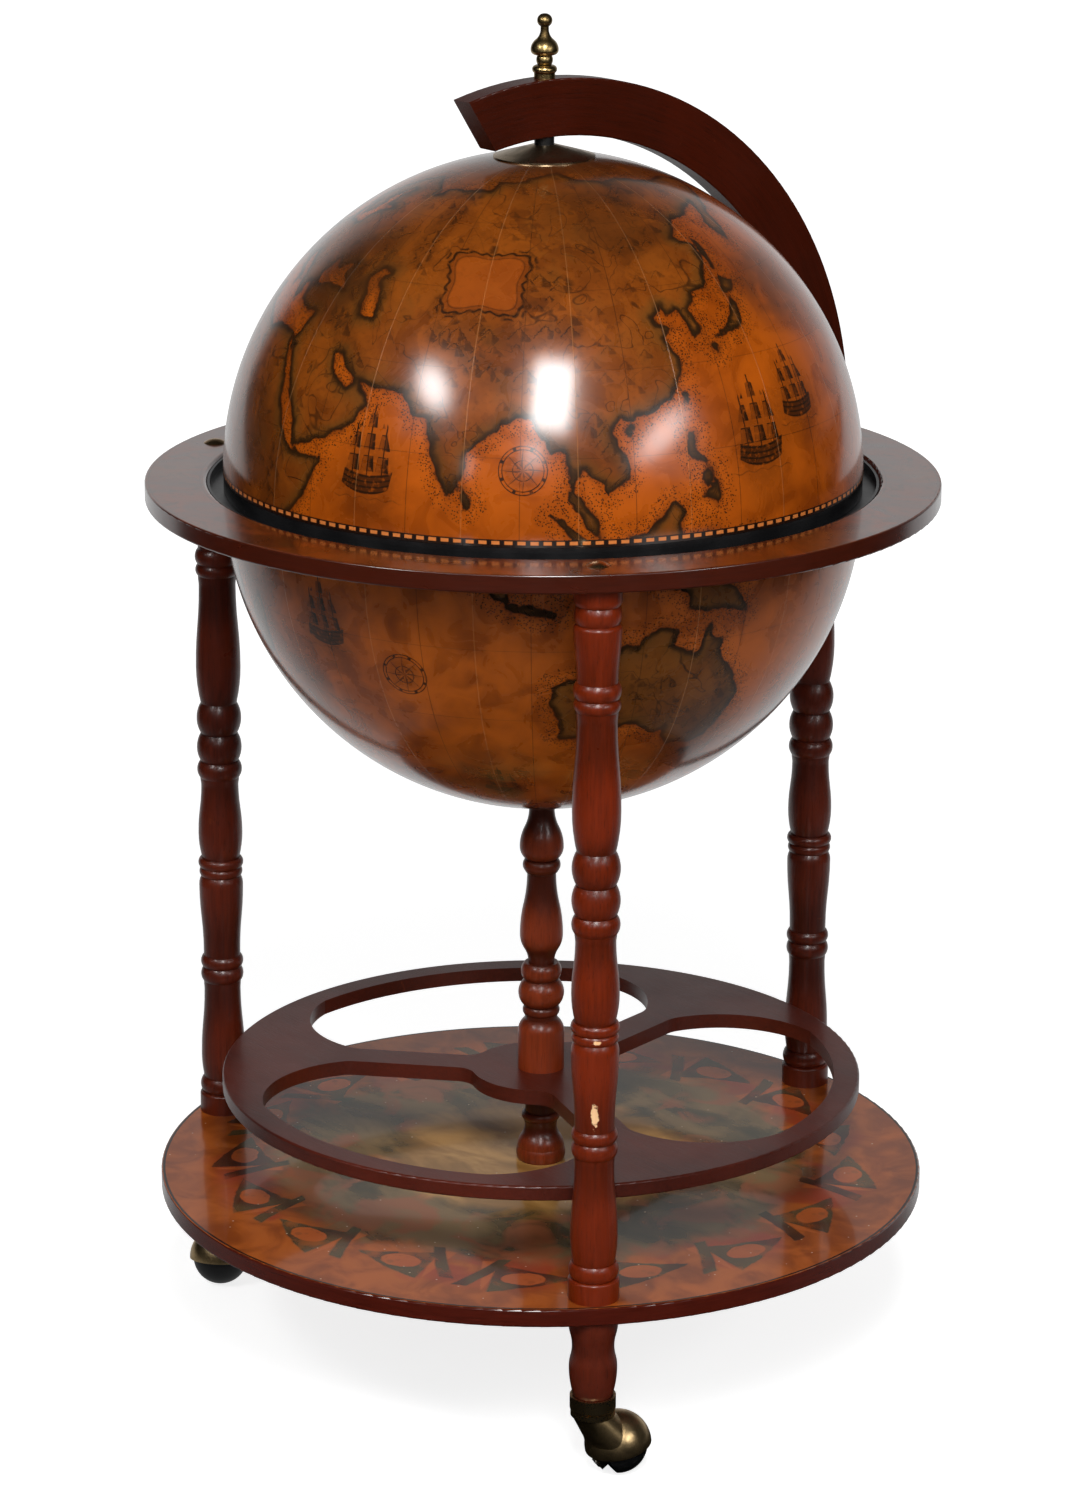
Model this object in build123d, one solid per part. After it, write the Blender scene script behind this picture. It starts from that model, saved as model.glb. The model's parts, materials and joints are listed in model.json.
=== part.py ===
from build123d import *
import os
from math import asin, atan2, cos, degrees, isclose, radians, sin, sqrt

# Floor-standing globe bar. Millimetres. The origin is on the floor under the globe's axis, +Z is up,
# +Y is the back, where the globe's lid is hinged, and -Y is the front.

# ---------------------------------------------------------------- driving dimensions
# Stand
castor_height = 50.0  # floor to the end of a foot
foot_length = 60.0
shelf_thickness = 12.0
shelf_set_back = 3.5  # shelf's edge inside the ring's
leg_length = 464.0
leg_set_in = 22.3  # legs' axes inside the ring's edge
ring_thickness = 12.0
ring_gap = 10.5  # globe to the ring's inner edge
ring_width = 40.5
leg_angles = (-30.0, -150.0, 90.0)  # right, left, and the hinge leg at the back
half_pitch = 60.0  # half the angle between legs, spokes or bottles
board_edge_round = 1.2
ring_lip_round = 2.5

# Bottle rack
rack_height = 55.5  # shelf's top to rack's underside
rack_thickness = 10.0
rack_set_back = 45.5  # rack's edge inside the ring's
rack_turn = 13.0  # how far its spokes stand round from the legs
rack_rim_width = 17.0
rack_hub_radius = 47.0
rack_spoke_width = 24.0
rack_corner_set_in = 84.5  # rack's edge to where a spoke starts to flare
rack_lobe_depth = 27.0  # rim's inner edge to the side of a lobe
rack_lobe_angle = 45.2
rack_rim_end_angle = 29.0
rack_corner_round = 18.0
rack_hub_round = 14.0

# Globe
globe_radius = 209.0
globe_wall = 3.0
bowl_level = 2.0  # bowl's rim above the ring's underside
dome_level = 4.0  # dome's rim above the ring's top
band_depth = 10.7  # black rim band under the dome
band_wall = 2.8
band_set_back = 0.4
band_lap = 10.0  # how far the band reaches up inside the dome
lining_thickness = 3.0
lining_upstand = 5.5
lining_wall = 1.7
lining_skirt = 6.0

# Serving tray and bottle floor inside the bowl
tray_drop = 14.0  # bowl's rim to the tray's underside
tray_thickness = 6.0
tray_finger_gap = 3.0
ledge_width = 8.5
ledge_height = 6.0
tray_web = 20.0  # bucket's hole to a bottle's hole
bottle_hole_radius = 42.0
bottle_set_in = 97.0  # globe's outside to a bottle's axis
bottle_angles = (-90.0, 30.0, 150.0)
glass_hole_radius = 29.0
glass_set_in = 46.0  # globe's outside to a glass's axis
glass_spread = 22.0  # each side of the line between two bottle holes
bottle_floor_drop = 139.0
bottle_floor_thickness = 6.0

# Meridian arm and what stands on the pole
arm_set_in = 0.5  # arm's outer face inside the ring's edge
arm_width = 37.5
arm_thickness = 17.0
arm_tip_reach = 67.0  # end cut beyond the axis, at the top
arm_tip_return = 21.5  # how much less it reaches at the bottom
arm_sweep = 125.0  # what is turned before the end is cut
arm_edge_round = 1.0
cap_radius = 33.0
cap_height = 5.6
cap_edge = 0.9
cap_shoulder = 1.0
spacer_radius = 6.5
finial_height = 41.4
pole_bolt_radius = 3.0
pole_bolt_in_finial = 12.0
pole_bolt_end = 2.0  # thread below the nut
pole_nut_flats = 10.0
pole_nut_height = 5.0
washer_radius = 12.0
washer_thickness = 1.6

# Butt hinge under the arm's foot
leaf_thickness = 0.9
leaf_gap = 0.2
leaf_depth = 22.0
knuckle_length = 5.2
knuckle_radius = 2.6
hinge_pin_radius = 1.4
hinge_set_in = 2.5  # pin's axis inside the arm's outer face
heel_room = 1.0  # wood cut back above the knuckle
screw_radius = 1.5
screw_head_radius = 2.6
screw_length = 9.0
screw_spread = 4.8
screw_set_in = 10.5

# Fasteners of the stand
leg_bolt_radius = 3.0
leg_bolt_length = 42.0
cap_head_radius = 7.8
cap_head_height = 2.8
flush_head_radius = 5.2
flush_head_height = 3.0
stud_radius = 4.0
stud_in_leg = 26.0
stud_in_foot = 24.0
post_stud_reach = 26.0
shelf_screw_radius = 2.5
shelf_screw_length = 37.0
shelf_screw_head_radius = 6.0
shelf_screw_head_height = 3.5
bowl_bolt_length = 34.0
bowl_bolt_head_radius = 5.5
bowl_bolt_head_height = 4.0

# Ball castors
ball_radius = 19.0
castor_trail = 18.0  # swivel axis to the ball's centre
trail_angles = (77.0, -46.0, 200.0)  # which way each castor trails, leg by leg
axle_tilt = 35.0
axle_radius = 2.5
axle_head_radius = 3.6
axle_head_height = 0.8
ball_flat = 13.0  # ball's centre to its flat inner end
hood_gap = 0.7
hood_wall = 1.8
hood_hem = 2.5  # how far above the ball's centre the hood ends
hem_tilt = 10.0
boss_wall = 4.8
boss_radius = 6.0
horn_radius = 9.5
neck_step = 0.7
swivel_head_radius = 14.2
swivel_head_height = 3.7
swivel_gap = 0.3
ferrule_radius = 14.7
ferrule_floor = 3.5
ferrule_rim = 6.0
ferrule_wall = 1.6
sleeve_wall = 1.5
sleeve_length = 26.0
stem_radius = 4.0
stem_end_gap = 1.0

# Clearances
running_clearance = 0.05
bore_clearance = 0.1
shell_clearance = 0.1
seat_clearance = 0.3

# ---------------------------------------------------------------- radii and levels that follow from them
ring_inner_radius = globe_radius + ring_gap
ring_outer_radius = ring_inner_radius + ring_width
leg_circle_radius = ring_outer_radius - leg_set_in
shelf_radius = ring_outer_radius - shelf_set_back
rack_radius = ring_outer_radius - rack_set_back
rack_corner_radius = rack_radius - rack_corner_set_in
glass_circle_radius = globe_radius - glass_set_in
bottle_circle_radius = globe_radius - bottle_set_in
bucket_hole_radius = bottle_circle_radius - bottle_hole_radius - tray_web
arm_outer_radius = ring_outer_radius - arm_set_in
arm_inner_radius = arm_outer_radius - arm_width
shelf_bottom = castor_height + foot_length
shelf_top = shelf_bottom + shelf_thickness
ring_bottom = shelf_top + leg_length
ring_top = ring_bottom + ring_thickness
rack_bottom = shelf_top + rack_height
rack_top = rack_bottom + rack_thickness
bowl_rim = ring_bottom + bowl_level
bowl_pole = bowl_rim - globe_radius
shell_inner_radius = globe_radius - globe_wall
dome_rim = ring_top + dome_level
dome_pole = dome_rim + globe_radius
tray_bottom = bowl_rim - tray_drop
bottle_floor_bottom = bowl_rim - bottle_floor_drop
arm_foot = ring_top + 2 * leaf_thickness + leaf_gap
hinge_level = ring_top + leaf_thickness + leaf_gap / 2
hinge_reach = arm_outer_radius - hinge_set_in
arm_top = arm_foot + arm_outer_radius
cap_top = dome_pole + cap_height

# Turned profiles from the top down: element, length, diameter, and for a bead how deep its edges are cut.
# Flats, beads and steps keep their lengths. Swells, openings and closings share what is left.
LEG = (
    ("flat", 9.6, 30.2),
    ("close", 3.0, 27.4),
    ("bead", 11.8, 29.6, 1.6),
    ("open", 2.6, 29.8),
    ("swell", 33.4, 25.6),
    ("bead", 10.4, 29.9, 1.8),
    ("bead", 8.0, 29.3, 1.6),
    ("swell", 7.4, 25.1),
    ("swell", 55.2, 30.5),
    ("close", 25.0, 24.6),
    ("bead", 21.9, 30.5, 3.0),
    ("bead", 19.6, 30.6, 2.6),
    ("bead", 11.6, 30.6, 2.0),
    ("swell", 5.5, 25.5),
    ("swell", 33.1, 30.2),
    ("close", 17.7, 25.5),
    ("bead", 6.6, 30.9, 1.4),
    ("bead", 6.4, 29.6, 1.4),
    ("open", 6.0, 30.2),
    ("swell", 46.7, 25.2),
    ("flat", 3.6, 25.2),
    ("bead", 8.3, 29.2, 1.6),
    ("bead", 10.3, 29.2, 1.8),
    ("swell", 6.0, 25.0),
    ("swell", 46.0, 30.0),
    ("close", 16.7, 26.5),
    ("bead", 10.4, 31.8, 1.8),
    ("open", 1.8, 32.6),
    ("flat", 12.2, 32.6),
)
FOOT = (
    ("flat", 4.0, 31.6),
    ("swell", 16.7, 26.9),
    ("swell", 14.0, 30.7),
    ("close", 21.3, 23.8),
    ("flat", 4.0, 23.8),
)
UPPER_POST = (
    ("flat", 2.0, 21.0),
    ("swell", 7.0, 17.0),
    ("swell", 26.0, 29.5),
    ("close", 8.5, 20.5),
    ("bead", 8.0, 25.4, 1.6),
    ("swell", 2.0, 19.4),
    ("swell", 41.5, 29.0),
    ("swell", 19.5, 17.4),
    ("bead", 12.0, 27.3, 2.4),
    ("bead", 18.4, 30.8, 4.0),
    ("bead", 6.4, 25.0, 1.5),
    ("swell", 2.6, 22.0),
    ("open", 9.0, 31.2),
    ("flat", 25.6, 31.2),
)
LOWER_POST = (
    ("flat", 21.5, 21.3),
    ("bead", 6.0, 26.0, 1.6),
    ("swell", 3.5, 21.7),
    ("swell", 15.5, 31.6),
    ("bead", 9.0, 33.4, 1.0),
)
FINIAL = (
    ("bead", 8.2, 9.8, 2.2),
    ("swell", 2.0, 5.4),
    ("swell", 13.1, 18.1),
    ("close", 2.9, 8.6),
    ("bead", 7.0, 10.8, 1.2),
    ("bead", 5.2, 16.1, 2.2),
    ("flat", 3.0, 13.7),
)


# ---------------------------------------------------------------- helpers
def rz(radius, z):
    """A point of a lathe profile."""
    return (radius, 0, z)


def lathe(edges):
    """The solid that a closed profile of edges sweeps about the globe's axis."""
    return revolve(Face(Wire(edges)), Axis.Z)


def lathe_polygon(points):
    """The solid that a straight-sided profile sweeps, given as radius and height pairs."""
    corners = [rz(*point) for point in points]
    return lathe([Line(a, b) for a, b in zip(corners, corners[1:] + corners[:1])])


def turned(profile, top, bottom, pointed=False):
    """A turned post between two levels, its profile worked from the top down."""
    stretch = ("swell", "open", "close")
    fixed = sum(element[1] for element in profile if element[0] not in stretch)
    free = sum(element[1] for element in profile if element[0] in stretch)
    scale = (top - bottom - fixed) / free
    edges = []
    z = top
    radius = 0.0

    def go(new_radius, new_z, edge=None):
        nonlocal z, radius
        if (new_radius, new_z) != (radius, z):
            edges.append(edge or Line(rz(radius, z), rz(new_radius, new_z)))
        radius, z = new_radius, new_z

    for kind, length, diameter, *relief in profile:
        end = z - length * (scale if kind in stretch else 1.0)
        full = diameter / 2
        if kind == "flat" or isclose(radius, full):
            go(full, z)
            go(full, end)
        elif kind == "bead":
            edge_radius = full - relief[0]
            if not (pointed and not edges):
                go(edge_radius, z)
            arc = ThreePointArc(rz(radius, z), rz(full, (z + end) / 2), rz(edge_radius, end))
            go(edge_radius, end, arc)
        elif kind == "swell":
            middle = (radius + full) / 2, (z + end) / 2
            upper = TangentArc(rz(radius, z), rz(*middle), tangent=(0, 0, -1))
            lower = TangentArc(rz(full, end), rz(*middle), tangent=(0, 0, 1))
            go(*middle, upper)
            go(full, end, lower)
        elif kind == "close":
            go(full, end, TangentArc(rz(radius, z), rz(full, end), tangent=(0, 0, -1)))
        elif kind == "open":
            arc = TangentArc(rz(full, end), rz(radius, z), tangent=(0, 0, 1))
            go(full, end, arc)
    go(0.0, z)
    edges.append(Line(rz(0, z), rz(0, top)))
    return lathe(edges)


def rod(radius, low, high):
    """A round bar, or a hole's tool, on the globe's axis between two levels."""
    return Pos(0, 0, low) * Cylinder(radius, high - low, align=(Align.CENTER, Align.CENTER, Align.MIN))


def taper(low_radius, high_radius, low, high):
    """A cone or countersink on the globe's axis between two levels."""
    cone = Cone(low_radius, high_radius, high - low, align=(Align.CENTER, Align.CENTER, Align.MIN))
    return Pos(0, 0, low) * cone


def at_leg(index):
    """Where a leg's axis stands, as a shift from the globe's axis."""
    angle = radians(leg_angles[index])
    return Pos(leg_circle_radius * cos(angle), leg_circle_radius * sin(angle), 0)


def polar(radius, angle):
    """A point in plan, from the globe's axis."""
    return Vector(radius * cos(radians(angle)), radius * sin(radians(angle)))


def shell_reach(radius, height):
    """A sphere's own radius at a height above or below its centre."""
    return sqrt(radius**2 - height**2)


# ---------------------------------------------------------------- stand
def make_shelf():
    """The round shelf at the bottom, bored for the leg studs and the post's screw."""
    shelf = rod(shelf_radius, shelf_bottom, shelf_top)
    shelf = fillet(shelf.edges().filter_by(GeomType.CIRCLE), board_edge_round)
    for index in range(len(leg_angles)):
        shelf -= at_leg(index) * rod(stud_radius + bore_clearance, shelf_bottom, shelf_top)
    shelf -= rod(shelf_screw_radius + bore_clearance, shelf_bottom, shelf_top)
    head = shelf_screw_head_radius + bore_clearance
    neck = shelf_screw_radius + bore_clearance
    return shelf - taper(head, neck, shelf_bottom, shelf_bottom + shelf_screw_head_height)


def make_leg():
    """A turned leg, drilled at both ends for its bolt and its stud."""
    leg = turned(LEG, ring_bottom, shelf_top)
    leg -= rod(stud_radius + bore_clearance, shelf_top, shelf_top + stud_in_leg + bore_clearance)
    bolt_end = ring_top - leg_bolt_length - bore_clearance
    return leg - rod(leg_bolt_radius + bore_clearance, bolt_end, ring_bottom)


def make_foot():
    """A turned foot, drilled for the stud above and the castor's sleeve below."""
    foot = turned(FOOT, shelf_bottom, castor_height)
    stud_end = shelf_bottom - stud_in_foot - bore_clearance
    foot -= rod(stud_radius + bore_clearance, stud_end, shelf_bottom)
    sleeve_outer = stem_radius + running_clearance + sleeve_wall
    sleeve_end = castor_height + sleeve_length + bore_clearance
    return foot - rod(sleeve_outer + bore_clearance, castor_height, sleeve_end)


def make_leg_stud():
    """The double-ended stud that clamps the shelf between a leg and its foot."""
    return rod(stud_radius, shelf_bottom - stud_in_foot, shelf_top + stud_in_leg)


def make_cap_bolt():
    """A leg's bolt with the domed head that shows on the ring."""
    shank = rod(leg_bolt_radius, ring_top - leg_bolt_length, ring_top)
    dome_radius = (cap_head_radius**2 + cap_head_height**2) / (2 * cap_head_height)
    dome = Pos(0, 0, ring_top + cap_head_height - dome_radius) * Sphere(dome_radius)
    return shank + (dome & rod(cap_head_radius, ring_top, ring_top + cap_head_height))


def make_flush_bolt():
    """The hinge leg's bolt, whose flat head lies level under the hinge."""
    shank = rod(leg_bolt_radius, ring_top - leg_bolt_length, ring_top - flush_head_height)
    return shank + taper(leg_bolt_radius, flush_head_radius, ring_top - flush_head_height, ring_top)


def make_ring():
    """The flat horizon ring, bored for the leg bolts and notched for the hinge."""
    ring = rod(ring_outer_radius, ring_bottom, ring_top) - rod(ring_inner_radius, ring_bottom, ring_top)
    rims = ring.edges().filter_by(GeomType.CIRCLE)
    lip = rims.sort_by(SortBy.RADIUS)[:2].sort_by(Axis.Z)[-1]
    ring = fillet(lip, ring_lip_round)
    rims = ring.edges().filter_by(GeomType.CIRCLE).sort_by(SortBy.RADIUS)
    ring = fillet(rims[-2:], board_edge_round)
    for index in range(len(leg_angles)):
        ring -= at_leg(index) * rod(leg_bolt_radius + bore_clearance, ring_bottom, ring_top)
    sink = taper(
        leg_bolt_radius + bore_clearance,
        flush_head_radius + bore_clearance,
        ring_top - flush_head_height,
        ring_top,
    )
    ring -= at_leg(2) * sink
    ring -= hinge_notch(ring_top)
    for screw in leaf_screws(ring_top, -1, bore_clearance):
        ring -= screw
    return ring


# ---------------------------------------------------------------- rack and posts
def rack_opening():
    """One opening between two spokes, drawn about +X and pushed through the rack."""
    rim = rack_radius - rack_rim_width
    half_spoke = rack_spoke_width / 2
    corner_angle = half_pitch - degrees(asin(half_spoke / rack_corner_radius))
    hub_angle = half_pitch - degrees(asin(half_spoke / rack_hub_radius))
    lobe = rim - rack_lobe_depth
    sides = []
    for side in (1, -1):
        rim_end = polar(rim, side * rack_rim_end_angle)
        corner = polar(rack_corner_radius, side * corner_angle)
        hub = polar(rack_hub_radius, side * hub_angle)
        sides.append(ThreePointArc(rim_end, polar(lobe, side * rack_lobe_angle), corner))
        sides.append(Line(corner, hub))
    rim_arc = ThreePointArc(polar(rim, -rack_rim_end_angle), (rim, 0), polar(rim, rack_rim_end_angle))
    hub_arc = ThreePointArc(
        polar(rack_hub_radius, -hub_angle), (rack_hub_radius, 0), polar(rack_hub_radius, hub_angle)
    )
    outline = Face(Wire([rim_arc, hub_arc, *sides]))
    tool = Pos(0, 0, rack_bottom) * extrude(outline, rack_thickness)
    hub_corners = tool.edges().filter_by(Axis.Z).sort_by(plan_radius)[:2]
    tool = fillet(hub_corners, rack_hub_round)
    upright = tool.edges().filter_by(Axis.Z)
    corners = upright.sort_by(lambda edge: abs(plan_radius(edge) - rack_corner_radius))[:2]
    return fillet(corners, rack_corner_round)


def plan_radius(edge):
    """How far an upright edge stands from the globe's axis."""
    centre = edge.center()
    return sqrt(centre.X**2 + centre.Y**2)


def make_rack():
    """The bottle rack: rim, three flared spokes and hub, cut from one board."""
    rack = rod(rack_radius, rack_bottom, rack_top)
    rack = fillet(rack.edges().filter_by(GeomType.CIRCLE), board_edge_round)
    opening = rack_opening()
    for leg_angle in leg_angles:
        rack -= Rot(0, 0, leg_angle + rack_turn + half_pitch) * opening
    return rack - rod(stud_radius + bore_clearance, rack_bottom, rack_top)


def make_upper_post():
    """The turned post between rack and bowl, drilled for the bowl's bolt and the post stud."""
    post = turned(UPPER_POST, bowl_pole, rack_top)
    bolt_end = bowl_bolt_seat() - bowl_bolt_length - bore_clearance
    post -= rod(pole_bolt_radius + bore_clearance, bolt_end, bowl_pole)
    return post - rod(stud_radius + bore_clearance, rack_top, rack_top + post_stud_reach + bore_clearance)


def make_lower_post():
    """The turned post between shelf and rack, drilled for the post stud and the shelf's screw."""
    post = turned(LOWER_POST, rack_bottom, shelf_top)
    stud_end = rack_bottom - post_stud_reach - bore_clearance
    post -= rod(stud_radius + bore_clearance, stud_end, rack_bottom)
    screw_end = shelf_bottom + shelf_screw_length + bore_clearance
    return post - rod(shelf_screw_radius + bore_clearance, shelf_top, min(screw_end, stud_end))


def make_post_stud():
    """The stud that joins both posts through the rack's hub."""
    return rod(stud_radius, rack_bottom - post_stud_reach, rack_top + post_stud_reach)


def make_shelf_screw():
    """The countersunk screw that holds the lower post down on the shelf."""
    shank_end = min(shelf_bottom + shelf_screw_length, rack_bottom - post_stud_reach - bore_clearance)
    shank = rod(shelf_screw_radius, shelf_bottom + shelf_screw_head_height, shank_end)
    head_top = shelf_bottom + shelf_screw_head_height
    return shank + taper(shelf_screw_head_radius, shelf_screw_radius, shelf_bottom, head_top)


# ---------------------------------------------------------------- globe
def make_dome():
    """The upper half of the globe, a thin shell bored at its pole."""
    ball = Sphere(globe_radius) - Sphere(shell_inner_radius)
    half = Pos(0, 0, dome_rim) * (ball & rod(globe_radius, 0, globe_radius))
    return half - rod(pole_bolt_radius + bore_clearance, dome_rim, dome_pole)


def make_bowl():
    """The lower half of the globe, a thin shell bored at its pole."""
    ball = Sphere(globe_radius) - Sphere(shell_inner_radius)
    half = Pos(0, 0, bowl_rim) * (ball & rod(globe_radius, -globe_radius, 0))
    return half - rod(pole_bolt_radius + bore_clearance, bowl_pole, bowl_rim)


def make_lid_band():
    """The black band under the dome's edge, stepped to lap up inside the shell."""
    lap_top = dome_rim + band_lap
    lap_radius = shell_reach(shell_inner_radius, band_lap) - shell_clearance
    inner = lap_radius - band_wall
    outer = globe_radius - band_set_back
    low = dome_rim - band_depth
    return lathe_polygon(
        [
            (inner, low),
            (outer, low),
            (outer, dome_rim),
            (lap_radius, dome_rim),
            (lap_radius, lap_top),
            (inner, lap_top),
        ]
    )


def make_lining():
    """The black lining of the ring: it carries the bowl and closes the gap round the globe."""
    top = bowl_rim + lining_thickness
    outer = ring_inner_radius - shell_clearance
    skirt = shell_reach(shell_inner_radius, lining_skirt) - shell_clearance
    inner = skirt - band_wall
    return lathe_polygon(
        [
            (inner, bowl_rim - lining_skirt),
            (skirt, bowl_rim - lining_skirt),
            (skirt, bowl_rim),
            (outer, bowl_rim),
            (outer, top + lining_upstand),
            (outer - lining_wall, top + lining_upstand),
            (outer - lining_wall, top),
            (inner, top),
        ]
    )


def bowl_seat():
    """The room inside the bowl, less the fit that a loose disc needs."""
    return Pos(0, 0, bowl_rim) * Sphere(shell_inner_radius - shell_clearance)


def make_ledge():
    """The ring glued inside the bowl that the tray lies on."""
    low = tray_bottom - ledge_height
    ledge = rod(globe_radius, low, tray_bottom) & bowl_seat()
    inner = shell_reach(shell_inner_radius, bowl_rim - low) - ledge_width
    return ledge - rod(inner, low, tray_bottom)


def make_tray():
    """The serving tray with its holes for bottles, glasses and an ice bucket."""
    tray_top = tray_bottom + tray_thickness
    tray_radius = shell_reach(shell_inner_radius, tray_drop) - tray_finger_gap
    tray = rod(tray_radius, tray_bottom, tray_top)
    tray -= rod(bucket_hole_radius, tray_bottom, tray_top)
    for angle in bottle_angles:
        centre = polar(bottle_circle_radius, angle)
        tray -= Pos(centre.X, centre.Y, 0) * rod(bottle_hole_radius, tray_bottom, tray_top)
        for side in (-1, 1):
            centre = polar(glass_circle_radius, angle + half_pitch + side * glass_spread)
            tray -= Pos(centre.X, centre.Y, 0) * rod(glass_hole_radius, tray_bottom, tray_top)
    return tray


def make_bottle_floor():
    """The disc low in the bowl that the bottles stand on."""
    floor_top = bottle_floor_bottom + bottle_floor_thickness
    return rod(globe_radius, bottle_floor_bottom, floor_top) & bowl_seat()


def bowl_bolt_seat():
    """The level of the bolt's washer, which bears on the shell at its own edge."""
    return bowl_rim - shell_reach(shell_inner_radius, washer_radius) + shell_clearance


def make_bowl_washer():
    """The washer inside the bowl's pole."""
    low = bowl_bolt_seat()
    washer = rod(washer_radius, low, low + washer_thickness)
    return washer - rod(pole_bolt_radius + bore_clearance, low, low + washer_thickness)


def make_bowl_bolt():
    """The bolt that draws the bowl down on the upper post."""
    head = bowl_bolt_seat() + washer_thickness
    shank = rod(pole_bolt_radius, bowl_bolt_seat() - bowl_bolt_length, head)
    return shank + rod(bowl_bolt_head_radius, head, head + bowl_bolt_head_height)


# ---------------------------------------------------------------- meridian arm
def arm_bore():
    """The hole for the pole's bolt, the same size in all that it passes."""
    return pole_bolt_radius + bore_clearance


def make_arm():
    """The flat half hoop from the hinge over the pole, cut back at its tip."""
    section = Rectangle(arm_thickness, arm_outer_radius - arm_inner_radius)
    section = fillet(section.vertices(), arm_edge_round)
    middle = (arm_outer_radius + arm_inner_radius) / 2
    hub = Axis((0, 0, arm_foot), (1, 0, 0))
    arm = revolve(Pos(0, middle, arm_foot) * section, hub, revolution_arc=arm_sweep)
    low_reach = arm_tip_reach - arm_tip_return
    tip_low = Vector(0, -low_reach, arm_foot + shell_reach(arm_inner_radius, low_reach))
    tip_top = Vector(0, -arm_tip_reach, arm_foot + shell_reach(arm_outer_radius, arm_tip_reach))
    end_cut = Plane(origin=tip_low, x_dir=(1, 0, 0), z_dir=Vector(1, 0, 0).cross(tip_top - tip_low))
    arm = split(arm, bisect_by=end_cut, keep=Keep.BOTTOM)
    arm -= rod(arm_bore(), arm_foot, arm_top)
    arm -= hinge_notch(arm_foot)
    for screw in leaf_screws(arm_foot, 1, bore_clearance):
        arm -= screw
    return arm


def make_spacer():
    """The black collar between the cap and the arm's underside."""
    underside = arm_foot + shell_reach(arm_inner_radius, spacer_radius) - running_clearance
    return rod(spacer_radius, cap_top, underside) - rod(arm_bore(), cap_top, underside)


def make_pole_cap():
    """The shallow cap over the dome's pole, hollowed to the dome's curve."""
    seat = globe_radius + shell_clearance
    rim = dome_rim + shell_reach(seat, cap_radius)
    bore = arm_bore()
    low = rz(bore, dome_rim + shell_reach(seat, bore))
    half_way = rz(cap_radius / 2, dome_rim + shell_reach(seat, cap_radius / 2))
    shoulder = spacer_radius + cap_shoulder
    return lathe(
        [
            ThreePointArc(low, half_way, rz(cap_radius, rim)),
            Line(rz(cap_radius, rim), rz(cap_radius, rim + cap_edge)),
            Line(rz(cap_radius, rim + cap_edge), rz(shoulder, cap_top)),
            Line(rz(shoulder, cap_top), rz(bore, cap_top)),
            Line(rz(bore, cap_top), low),
        ]
    )


def make_finial():
    """The turned brass finial, tapped for the pole's bolt."""
    finial = turned(FINIAL, arm_top + finial_height, arm_top, pointed=True)
    return finial - rod(arm_bore(), arm_top, arm_top + pole_bolt_in_finial + bore_clearance)


def pole_washer_seat():
    """The level under the dome's pole where the washer's edge meets the shell."""
    return dome_rim + shell_reach(shell_inner_radius, washer_radius) - shell_clearance


def make_pole_washer():
    """The washer inside the dome's pole."""
    high = pole_washer_seat()
    low = high - washer_thickness
    return rod(washer_radius, low, high) - rod(arm_bore(), low, high)


def make_pole_nut():
    """The hexagon nut under the dome's pole."""
    high = pole_washer_seat() - washer_thickness
    hexagon = RegularPolygon(pole_nut_flats / 2, 6, major_radius=False)
    nut = Pos(0, 0, high - pole_nut_height) * extrude(hexagon, pole_nut_height)
    return nut - rod(pole_bolt_radius + running_clearance, high - pole_nut_height, high)


def make_pole_bolt():
    """The threaded rod from the nut through dome, cap, spacer and arm into the finial."""
    low = pole_washer_seat() - washer_thickness - pole_nut_height - pole_bolt_end
    return rod(pole_bolt_radius, low, arm_top + pole_bolt_in_finial)


# ---------------------------------------------------------------- hinge
def knuckle(radius, low_x, high_x):
    """A round bar on the hinge's axis between two stations across it."""
    bar = Cylinder(radius, high_x - low_x, align=(Align.CENTER, Align.CENTER, Align.MIN))
    return Pos(low_x, hinge_reach, hinge_level) * Rot(0, 90, 0) * bar


def half_hinge():
    """Half the hinge's length: one and a half knuckles with the gap between two."""
    return 1.5 * knuckle_length + seat_clearance


def hinge_notch(face_level):
    """The room cut for the knuckles and the heel of the arm, open to the back."""
    room = knuckle_radius + seat_clearance
    if face_level > hinge_level:
        low, high = face_level, hinge_level + knuckle_radius + heel_room
    else:
        low, high = hinge_level - room, face_level
    depth = room + ring_outer_radius - hinge_reach
    width = arm_thickness + 2 * seat_clearance
    return Pos(0, hinge_reach - room, low) * Box(
        width, depth, high - low, align=(Align.CENTER, Align.MIN, Align.MIN)
    )


def leaf_screws(face_level, direction, clearance):
    """The two screws of a leaf, or with a clearance the tools for their holes."""
    screws = []
    for side in (-1, 1):
        ends = sorted((face_level, face_level + direction * (screw_length + clearance)))
        shank = rod(screw_radius + clearance, *ends)
        screws.append(Pos(side * screw_spread, hinge_reach - screw_set_in, 0) * shank)
    return screws


def leaf(face_level, direction):
    """A hinge leaf flat on its wood, countersunk for two screws."""
    plate = Pos(0, hinge_reach - leaf_depth, face_level) * Box(
        2 * half_hinge(), leaf_depth, leaf_thickness, align=(Align.CENTER, Align.MIN, Align.MIN)
    )
    if direction > 0:
        plate = Pos(0, 0, -leaf_thickness) * plate
    return plate


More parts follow.
